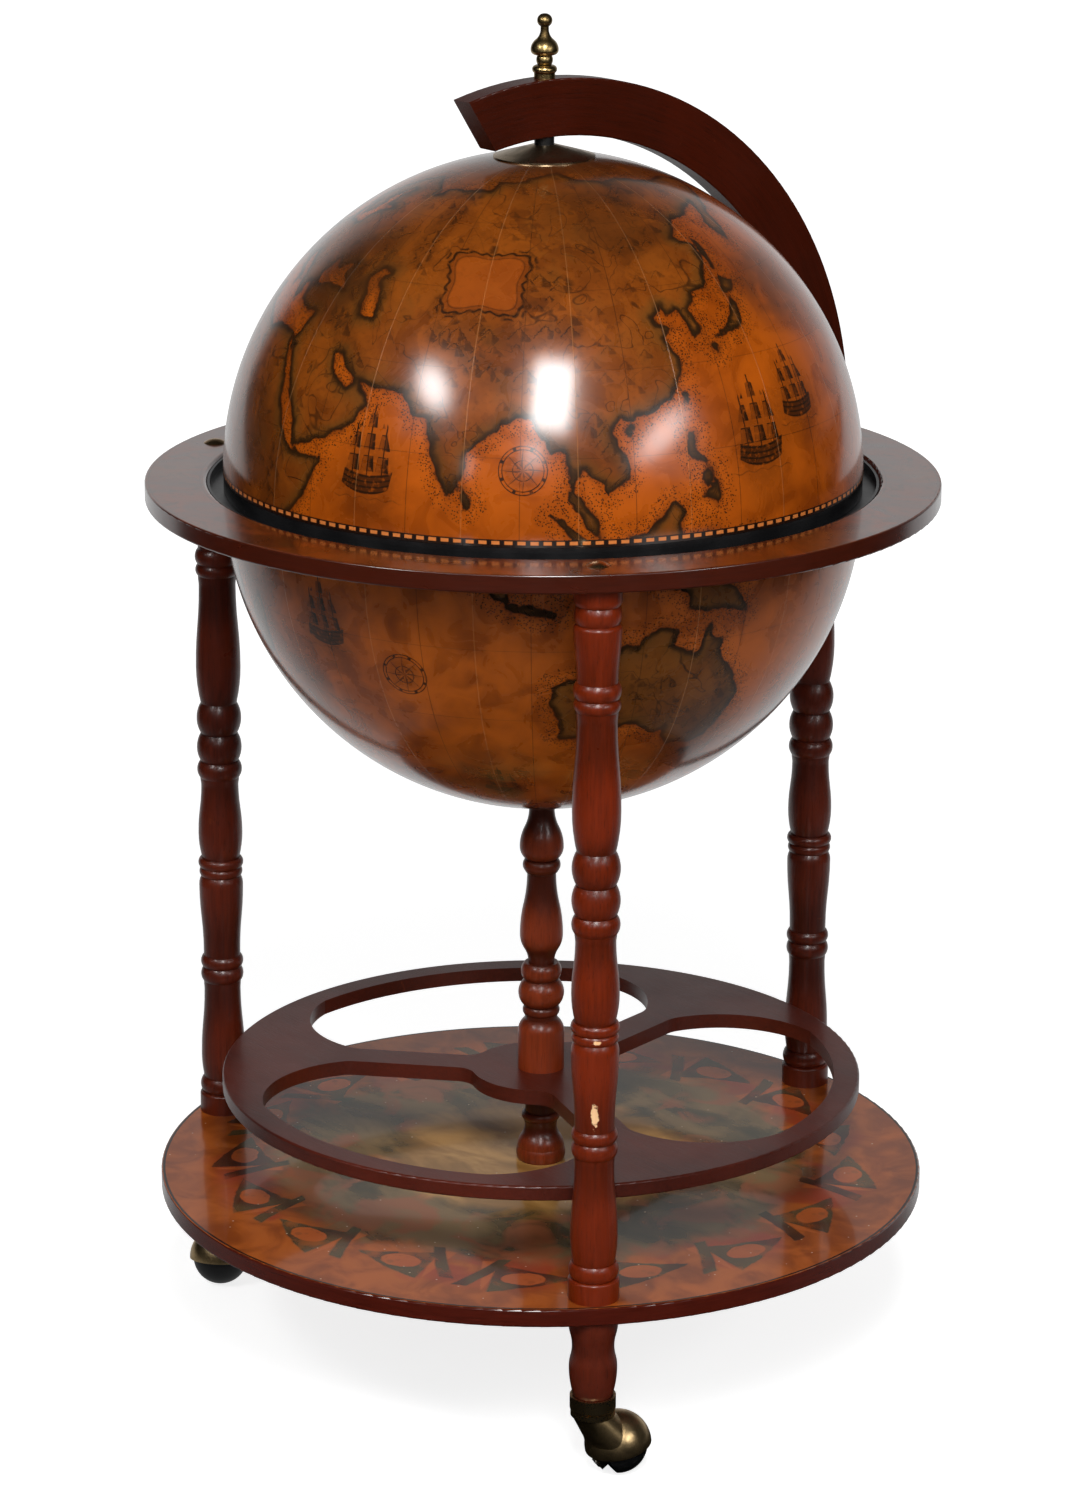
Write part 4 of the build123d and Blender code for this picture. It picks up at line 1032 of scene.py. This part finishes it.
@dataclass(frozen=True)
class WorldMap:
    """The coasts and mountain ranges that the print shows.

    Runs longer than the step get points in between, in degrees. Distances are measured up to the
    reach, in millimetres. Nothing south of the sheet's edge counts as a coast.
    """

    step: float = 2.5
    reach: float = 40.0
    sheet_edge: float = -79.0

    def line(self, text: str, closed: bool) -> np.ndarray:
        """Read a line of longitudes and latitudes, with points added along its long runs.

        Args:
            text: pairs of longitude and latitude.
            closed: whether the line comes back to its start.

        Returns:
            The points as rows of longitude and latitude.
        """
        points = [tuple(float(part) for part in pair.split(",")) for pair in text.split()]
        if closed:
            points.append(points[0])
        rows = []
        for first, second in zip(points, points[1:]):
            run = max(abs(b - a) for a, b in zip(first, second))
            count = max(1, math.ceil(run / self.step))
            for index in range(count):
                share = index / count
                rows.append([a + (b - a) * share for a, b in zip(first, second)])
        rows.append(list(points[-1]))
        return np.array(rows)

    @staticmethod
    def directions(rows: np.ndarray) -> np.ndarray:
        """Turn longitudes and latitudes, in degrees, into unit vectors."""
        east, north = np.radians(rows[:, 0]), np.radians(rows[:, 1])
        level = np.cos(north)
        return np.stack([level * np.cos(east), level * np.sin(east), np.sin(north)], axis=1)

    @staticmethod
    def nearest(points: np.ndarray, rows: np.ndarray, limit: float) -> np.ndarray:
        """Give each point's distance to a line of unit vectors, up to a limit."""
        best = np.full(len(points), limit)
        for start, end in zip(rows, rows[1:]):
            run = end - start
            length = float(run @ run)
            if length == 0.0:
                continue
            offset = points - start
            share = np.clip(offset @ run / length, 0.0, 1.0)
            gap = offset - share[:, None] * run
            best = np.minimum(best, np.sqrt(np.einsum("ij,ij->i", gap, gap)))
        return best

    @staticmethod
    def inside(rows: np.ndarray, outline: np.ndarray) -> np.ndarray:
        """Tell which longitudes and latitudes lie inside an outline."""
        result = np.zeros(len(rows), bool)
        for turn in (0.0, 360.0, -360.0):
            east, north = rows[:, 0] + turn, rows[:, 1]
            odd = np.zeros(len(rows), bool)
            for (x0, y0), (x1, y1) in zip(outline, outline[1:]):
                if y0 == y1:
                    continue
                crossing = (y0 > north) != (y1 > north)
                odd ^= crossing & (east < (x1 - x0) * (north - y0) / (y1 - y0) + x0)
            result |= odd
        return result

    def coast(self, rows: np.ndarray, radius: float) -> np.ndarray:
        """Give each place's distance to the nearest coast, positive on land.

        Args:
            rows: longitudes and latitudes, in degrees.
            radius: the globe's radius, in millimetres.

        Returns:
            The signed distances, in millimetres.
        """
        points = self.directions(rows)
        limit = self.reach / radius
        best = np.full(len(rows), limit)
        ashore = np.zeros(len(rows), bool)
        for table in (LANDS, LAKES):
            for text in table.values():
                outline = self.line(text, True)
                open_water = outline[outline[:, 1] > self.sheet_edge]
                best = np.minimum(best, self.nearest(points, self.directions(open_water), limit))
                ashore ^= self.inside(rows, outline)
        return np.where(ashore, best, -best) * radius

    def heights(self, rows: np.ndarray, radius: float) -> np.ndarray:
        """Give each place's distance to the nearest mountain range, in millimetres."""
        points = self.directions(rows)
        limit = self.reach / radius
        best = np.full(len(rows), limit)
        for text in RANGES.values():
            crest = self.directions(self.line(text, False))
            best = np.minimum(best, self.nearest(points, crest, limit))
        return best * radius


# ---------------------------------------------------------------- sub-assemblies
def dress(nodes: Iterable[str], material: bpy.types.Material) -> None:
    """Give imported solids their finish.

    Args:
        nodes: the solids' names.
        material: the finish that they get.
    """
    for name in nodes:
        slots = frame["nodes"][name].data.materials
        if len(slots) == 0:
            slots.append(material)
        for index in range(len(slots)):
            slots[index] = material
        log.info("dressed %s in %s", name, material.name)


def named(stem: str) -> list[str]:
    """Give a part's name on each of the three legs."""
    return [f"{stem}_{side}" for side in SIDES]


@dataclass(frozen=True)
class PrintedShell:
    """Half of the globe, as a fine shell that carries its part of the map."""

    name: str
    node: str
    body: str
    slot: str
    upper: bool
    finish: GlobePrint
    wall: float = 3.0
    bore: float = 3.1
    around: int = 480
    down: int = 112
    inner_down: int = 20

    @property
    def middle(self) -> Vector:
        """Give the globe's middle, in metres."""
        return Vector((0.0, 0.0, self.finish.middle * MM))

    def profile(self, form: bmesh.types.BMesh) -> None:
        """Draw the shell's section, from the bore over the outside and back along the inside."""
        way = 1.0 if self.upper else -1.0
        outside = self.finish.radius
        ends = []
        for size, steps in ((outside, self.down), (outside - self.wall, self.inner_down)):
            first = math.asin(self.bore / size)
            out = Vector((math.sin(first), 0.0, way * math.cos(first)))
            vertex = form.verts.new(self.middle + size * MM * out)
            made = bmesh.ops.spin(
                form,
                geom=[vertex],
                cent=self.middle,
                axis=(0.0, 1.0, 0.0),
                angle=way * (math.pi / 2 - first),
                steps=steps,
            )
            last = [item for item in made["geom_last"] if isinstance(item, bmesh.types.BMVert)][0]
            ends.append((vertex, last))
        for pair in zip(*ends):
            form.edges.new(pair)

    def build(self) -> bpy.types.Object:
        """Spin the section into the shell.

        Returns:
            The shell's object, with the map's measures on its points.
        """
        form = bmesh.new()
        self.profile(form)
        bmesh.ops.spin(
            form,
            geom=form.verts[:] + form.edges[:],
            cent=(0.0, 0.0, 0.0),
            axis=(0.0, 0.0, 1.0),
            angle=2 * math.pi,
            steps=self.around,
            use_merge=True,
        )
        bmesh.ops.remove_doubles(form, verts=form.verts[:], dist=1e-6)
        bmesh.ops.recalc_face_normals(form, faces=form.faces[:])
        half_wall = (self.finish.radius - self.wall / 2) * MM
        for face in form.faces:
            face.smooth = True
            outside = (face.calc_center_median() - self.middle).length > half_wall
            face.material_index = 0 if outside else 1
        for edge in form.edges:
            pair = edge.link_faces
            edge.smooth = len(pair) != 2 or pair[0].normal.angle(pair[1].normal) < SHARP
        mesh = bpy.data.meshes.new(self.name)
        form.to_mesh(mesh)
        form.free()
        self.measure(mesh)
        return linked(self.name, mesh)

    def measure(self, mesh: bpy.types.Mesh) -> None:
        """Keep each point's distance to the coast and to the mountains on the mesh."""
        flat = np.zeros(len(mesh.vertices) * 3)
        mesh.vertices.foreach_get("co", flat)
        x, y, z = (flat.reshape(-1, 3) / MM - np.array([0.0, 0.0, self.finish.middle])).T
        turn = np.degrees(np.arctan2(y, x)) - self.finish.first_meridian
        rise = np.degrees(np.arctan2(z, np.hypot(x, y)))
        rows = np.stack([(turn + 180.0) % 360.0 - 180.0, rise], axis=1)
        world = WorldMap()
        for title, measure in (("coast", world.coast), ("heights", world.heights)):
            values = measure(rows, self.finish.radius).astype(np.float32)
            layer = mesh.attributes.new(title, "FLOAT", "POINT")
            layer.data.foreach_set("value", values)

    def hang(self, lining: bpy.types.Material) -> None:
        """Build the shell, with its print outside and its lining inside, and set it in the frame."""
        shell = self.build()
        for material in (self.finish.material(), lining):
            shell.data.materials.append(material)
        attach(shell, self.body)
        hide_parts(self.node)
        log.info("%s: %d faces", self.name, len(shell.data.polygons))


class Assembly(ABC):
    """A part of the globe bar whose solids are dressed from a table."""

    @abstractmethod
    def finishes(self) -> Table:
        """Give the solids' names with the finish that they get."""

    def build(self) -> None:
        """Dress the solids."""
        for nodes, finish in self.finishes():
            dress(nodes, finish.material())


class Globe(Assembly):
    """The two printed shells with the rim band, the lining and the fittings at the poles."""

    def build(self) -> None:
        """Make both shells and dress the trim."""
        dome = GlobePrint(
            "dome map",
            roses=((90.5, 13.0, 15.0), (-38.0, 36.0, 16.0), (-150.0, 20.0, 16.0)),
            ships=(
                (62.0, 10.0, 30.0),
                (136.0, 14.0, 31.0),
                (148.0, 20.0, 26.0),
                (-30.0, 16.0, 18.0),
                (-130.0, 30.0, 18.0),
            ),
            cartouches=((79.5, 46.5, 29.0), (-165.0, 45.0, 18.0)),
            dark_patches=(
                (0.0, 90.0, 95.0, 0.85),
                (38.0, 46.0, 62.0, 0.75),
                (110.0, 62.0, 60.0, 0.5),
                (158.0, 42.0, 50.0, 0.6),
                (28.0, 12.0, 50.0, 0.6),
            ),
        )
        bowl = GlobePrint(
            "bowl map",
            middle=588.0,
            first_meridian=-150.1,
            border=False,
            roses=((85.8, -21.5, 15.0), (-20.0, -20.0, 15.0), (-110.0, -25.0, 15.0)),
            ships=(
                (69.5, -15.5, 26.0),
                (101.0, -52.0, 20.0),
                (-10.0, -36.0, 17.0),
                (-120.0, -45.0, 17.0),
            ),
            dark_patches=((0.0, -90.0, 110.0, 0.8), (58.0, -30.0, 40.0, 0.3), (150.0, -40.0, 50.0, 0.5)),
            # Painted shade: the bowl's sea and land are darker copies of the dome's colours, for the
            # ring's shadow over the bowl.
            sea=(160, 78, 14),
            deep_sea=(108, 48, 8),
            land=(104, 58, 16),
            far_land=(76, 40, 11),
        )
        lining = ShellLining("shell lining").material()
        PrintedShell("dome_print", "dome", "lid", "printed_shell", True, dome).hang(lining)
        PrintedShell("bowl_print", "bowl", "stand", "printed_shell", False, bowl).hang(lining)
        super().build()

    def finishes(self) -> Table:
        """Give the trim's finishes."""
        return [
            (["ring_lining", "tray_ledge"], BlackLacquer("black lining", gloss=0.3)),
            (["lid_band"], BlackLacquer("black rim band", gloss=0.2)),
            (["pole_nut", "pole_washer", "pole_bolt", "bowl_bolt", "bowl_washer"], ZincSteel("zinc")),
        ]


@dataclass
class Stand(Assembly):
    """The ring, the legs and feet, the posts and the base shelf."""

    leg_radius: float = 14.0
    chips: tuple[Row, ...] = ((-39.0, 247.5, 2.6, 8.6), (-33.0, 296.5, 2.4, 1.2))

    def chip(self, turn: float, height: float, wide: float, high: float) -> Row:
        """Place a chip on the right leg's side, in millimetres."""
        x, y, _ = leg_axis("right")
        angle = math.radians(turn)
        out = Vector((math.cos(angle), math.sin(angle))) * self.leg_radius
        return (x + out.x, y + out.y, height, wide, high)

    def finishes(self) -> Table:
        """Give the finishes of the stand's wood and its fittings."""
        axes = tuple(leg_axis(side) for side in SIDES)
        turned = partial(StainedWood, grain=Grain.UPRIGHT, axes=axes)
        chips = tuple(self.chip(*row) for row in self.chips)
        post = turned("post wood", dark=(66, 22, 8), light=(140, 54, 22), axes=MIDDLE, full_radius=16.0)
        rack = StainedWood("rack wood", dark=(50, 15, 8), light=(88, 30, 16), gloss=0.36)
        caps = AgedBrass("bronzed caps", bright=(186, 154, 112), brown=(120, 94, 66))
        return [
            # The legs and feet share one stain: painted lighter on the right leg for the light on it, and
            # darker on the others for their shade.
            (["leg_right"], turned("right leg wood painted lit", dark=(58, 16, 2), light=(120, 36, 5), chips=chips)),
            (
                ["leg_left", "leg_back", *named("foot")],
                turned("turned wood painted shaded", dark=(42, 11, 5), light=(94, 32, 14)),
            ),
            (["upper_post", "lower_post"], post),
            (["horizon_ring"], RingPrint("ring print")),
            (["base_shelf"], ShelfPrint("shelf print")),
            (["bottle_rack"], rack),
            (["leg_cap_bolts"], caps),
            (["leg_studs", "post_stud", "shelf_screw", "hinge_leg_bolt"], ZincSteel("zinc studs")),
        ]


class MeridianArm(Assembly):
    """The half hoop over the globe, its hinge, and what stands on the pole."""

    def finishes(self) -> Table:
        """Give the finishes of the arm and its fittings."""
        wood = StainedWood(
            "arm wood", dark=(40, 9, 1), light=(66, 17, 3), grain=Grain.HOOP, gloss=0.36, shine=0.18
        )
        finial = AgedBrass("finial brass", bright=(176, 150, 100), brown=(84, 68, 42), axes=MIDDLE)
        return [
            (["meridian_arm"], wood),
            (["finial"], finial),
            (["pole_cap"], AgedBrass("cap bronze", bright=(176, 154, 122), brown=(120, 102, 78))),
            (["arm_spacer"], BlackLacquer("black spacer")),
            (["hinge_ring_leaf", "hinge_arm_leaf"], AgedBrass("hinge brass")),
            (["hinge_pin", "ring_leaf_screws", "arm_leaf_screws"], ZincSteel("hinge steel")),
        ]


class Tray(Assembly):
    """The tray and the bottle floor inside the bowl."""

    def finishes(self) -> Table:
        """Give the finish of the two boards."""
        wood = StainedWood("tray wood", dark=(62, 24, 15), light=(118, 54, 32), gloss=0.34)
        return [(["serving_tray", "bottle_floor"], wood)]


class Castors(Assembly):
    """The three ball castors."""

    def finishes(self) -> Table:
        """Give the castors' finishes."""
        brass = AgedBrass("castor brass", bright=(214, 184, 136), brown=(132, 110, 76))
        return [
            (named("castor_hood") + named("castor_ferrule"), brass),
            (named("castor_axle"), ZincSteel("axle steel")),
            (named("castor_ball"), BlackLacquer("castor rubber", shade=(13, 13, 14), gloss=0.34)),
        ]


# ---------------------------------------------------------------- studio
@dataclass
class SoftBox:
    """A soft lamp that faces the globe.

    Its turn and rise say where it hangs, seen from the globe. Its brightness is what its face
    shows, and it fades over a share of its half width towards its edges.
    """

    name: str
    turn: float
    rise: float
    width: float
    height: float
    brightness: float
    lean: float = 0.0
    round_shape: bool = False
    fade: float = 0.0
    distance: float = 2.5
    aim: Place = (0.0, 0.0, 0.602)

    def soften(self, lamp: bpy.types.AreaLight) -> None:
        """Fade the lamp towards its edges."""
        lamp.use_nodes = True
        glow = next(node for node in lamp.node_tree.nodes if node.type == "EMISSION")
        across, up, _ = split(read(lamp.node_tree, "ShaderNodeNewGeometry", "Parametric"))
        sides = [abs((part - 0.5) * 2.0) for part in (across, up)]
        inner = 1.0 - self.fade
        if self.round_shape:
            soft = ease(span(*sides), 1.0, inner)
        else:
            soft = ease(sides[0], 1.0, inner) * ease(sides[1], 1.0, inner)
        feed(glow.inputs["Strength"], soft)

    def build(self) -> None:
        """Hang the lamp."""
        lamp = bpy.data.lights.new(self.name, "AREA")
        lamp.shape = "ELLIPSE" if self.round_shape else "RECTANGLE"
        lamp.size = self.width
        lamp.size_y = self.height
        area = self.width * self.height * (math.pi / 4 if self.round_shape else 1.0)
        lamp.energy = self.brightness * math.pi * area
        if self.fade:
            self.soften(lamp)
        out = direction(self.turn, self.rise)
        facing = (-out).to_track_quat("-Z", "Y").to_matrix().to_4x4()
        leaning = Matrix.Rotation(math.radians(self.lean), 4, "Z")
        place = Matrix.Translation(Vector(self.aim) + self.distance * out)
        linked(self.name, lamp, place @ facing @ leaning)


@dataclass
class Studio:
    """The pale floor, the white surroundings, the lamps and the camera."""

    camera_place: Place = (2.356, -1.849, 1.3178)
    turn: float = 141.9124
    tilt: float = 13.905
    roll: float = 0.1996
    lens: float = 113.005
    sensor: float = 36.0
    shift: float = -0.16227
    floor_radius: float = 30.0
    boxes: list[SoftBox] = field(default_factory=list)

    def camera(self) -> None:
        """Stand the camera where the view is taken from."""
        ahead = direction(self.turn, -self.tilt)
        right = ahead.cross(Vector((0.0, 0.0, 1.0))).normalized()
        above = right.cross(ahead)
        lean = math.radians(self.roll)
        across = right * math.cos(lean) + above * math.sin(lean)
        upward = above * math.cos(lean) - right * math.sin(lean)
        data = bpy.data.cameras.new("camera")
        data.lens = self.lens
        data.sensor_width = self.sensor
        data.shift_y = self.shift
        data.clip_end = 100.0
        turned = Matrix((across, upward, -ahead)).transposed().to_4x4()
        place = Matrix.Translation(Vector(self.camera_place))
        bpy.context.scene.camera = linked("camera", data, place @ turned)

    def behind(self, swing: float) -> Place:
        """Give the level direction away from the camera, swung round by some degrees."""
        away = Vector((-self.camera_place[0], -self.camera_place[1], 0.0)).normalized()
        return tuple(Matrix.Rotation(math.radians(swing), 3, "Z") @ away)

    def glow(self, place: Signal, seen: Signal, shiny: Signal) -> Signal:
        """Work out how brightly the floor shows itself.

        Args:
            place: the point on the floor, in millimetres.
            seen: 1 where the camera looks.
            shiny: 1 where a shiny surface mirrors the floor.

        Returns:
            The floor's brightness, which is plain to the camera and pale behind the object in a
            mirror.
        """
        reach = vector("LENGTH", place)
        away = vector("DOT_PRODUCT", place, self.behind(0.0)) / reach
        plain = 0.81 + ease(reach, 600.0, 2600.0) * 0.25
        near = ease(reach * ease(away, 0.9, 0.2), 1700.0, 900.0)
        paper = ease(away, -0.8, -0.1) * 0.16 + ease(away, 0.0, 0.9) * 0.48
        return seen * plain + shiny * (paper * near)

    def floor(self) -> None:
        """Lay the floor, plain from above and clear from below."""
        form = bmesh.new()
        bmesh.ops.create_circle(form, cap_ends=True, segments=64, radius=self.floor_radius)
        mesh = bpy.data.meshes.new("studio_floor")
        form.to_mesh(mesh)
        form.free()
        sheet = linked("studio_floor", mesh)
        material = bpy.data.materials.new("studio floor")
        material.use_nodes = True
        tree = material.node_tree
        tree.nodes.clear()
        seen, shiny = rays(tree)
        matt = shader(tree, "ShaderNodeBsdfDiffuse", {"Color": (0.6, 0.6, 0.6, 1.0)})
        glow = shader(tree, "ShaderNodeEmission", {"Strength": self.glow(place_in(tree), seen, shiny)})
        both = shader(tree, "ShaderNodeAddShader", (matt, glow))
        either = shader(tree, "ShaderNodeMixShader", (shiny, both, glow))
        clear = shader(tree, "ShaderNodeBsdfTransparent")
        from_below = seen * read(tree, "ShaderNodeNewGeometry", "Backfacing")
        window = shader(tree, "ShaderNodeMixShader", (from_below, either, clear))
        add(tree, "ShaderNodeOutputMaterial", (window,))
        mesh.materials.append(material)

    def world(self) -> None:
        """Set the surroundings: pale paper behind the object, dark behind the camera."""
        world = bpy.data.worlds.new("studio")
        bpy.context.scene.world = world
        world.use_nodes = True
        tree = world.node_tree
        tree.nodes.clear()
        outward = read(tree, "ShaderNodeTexCoord", "Generated")
        ahead, leftward = (vector("DOT_PRODUCT", outward, self.behind(swing)) for swing in (0.0, 90.0))
        swing = work("ARCTAN2", leftward, ahead)
        width = ease(swing, -1.3, -0.1) * ease(swing, 0.72, 0.5)
        paper = width * ease(split(outward)[2], 0.85, -0.1)
        seen, shiny = rays(tree)
        unseen = shiny * (paper * 0.9) + (1.0 - shiny) * (0.16 + paper * 0.5)
        background = shader(tree, "ShaderNodeBackground", {"Strength": most(seen, unseen)})
        add(tree, "ShaderNodeOutputWorld", (background,))

    def build(self) -> None:
        """Set up the studio."""
        view = bpy.context.scene.view_settings
        view.view_transform = "Standard"
        view.look = "None"
        view.exposure = 0.0
        view.gamma = 1.0
        self.camera()
        self.floor()
        self.world()
        for box in self.boxes:
            box.build()
            log.info("hung %s", box.name)


def studio() -> Studio:
    """Give the studio with its lamps."""
    faded = partial(SoftBox, fade=0.8)
    return Studio(
        boxes=[
            faded("left_lamp", -84.5, 35.5, 0.62, 1.15, 24.0, lean=48.0, round_shape=True, fade=0.85),
            SoftBox("left_paper", -84.0, 34.0, 0.95, 1.25, 0.6, lean=12.0),
            SoftBox("left_spark", -64.0, 13.0, 0.16, 0.36, 4.0, round_shape=True),
            faded("middle_lamp", -34.5, 38.0, 0.74, 1.42, 29.0, lean=-7.0, fade=0.55),
            faded("middle_foot", -41.5, 18.0, 0.46, 0.66, 10.0),
            faded("side_lamp", 6.0, 21.0, 0.56, 1.60, 11.0, lean=-60.0, round_shape=True),
            SoftBox("side_paper", 6.0, 18.0, 1.35, 0.95, 0.5, lean=-15.0),
        ]
    )


def main() -> None:
    """Build and dress the globe bar, and set it in its studio."""
    logging.basicConfig(level=logging.INFO, format="%(name)s: %(message)s")
    studio().build()
    for assembly in (Stand(), Globe(), MeridianArm(), Tray(), Castors()):
        assembly.build()
        log.info("built %s", type(assembly).__name__)


if __name__ == "__main__":
    main()
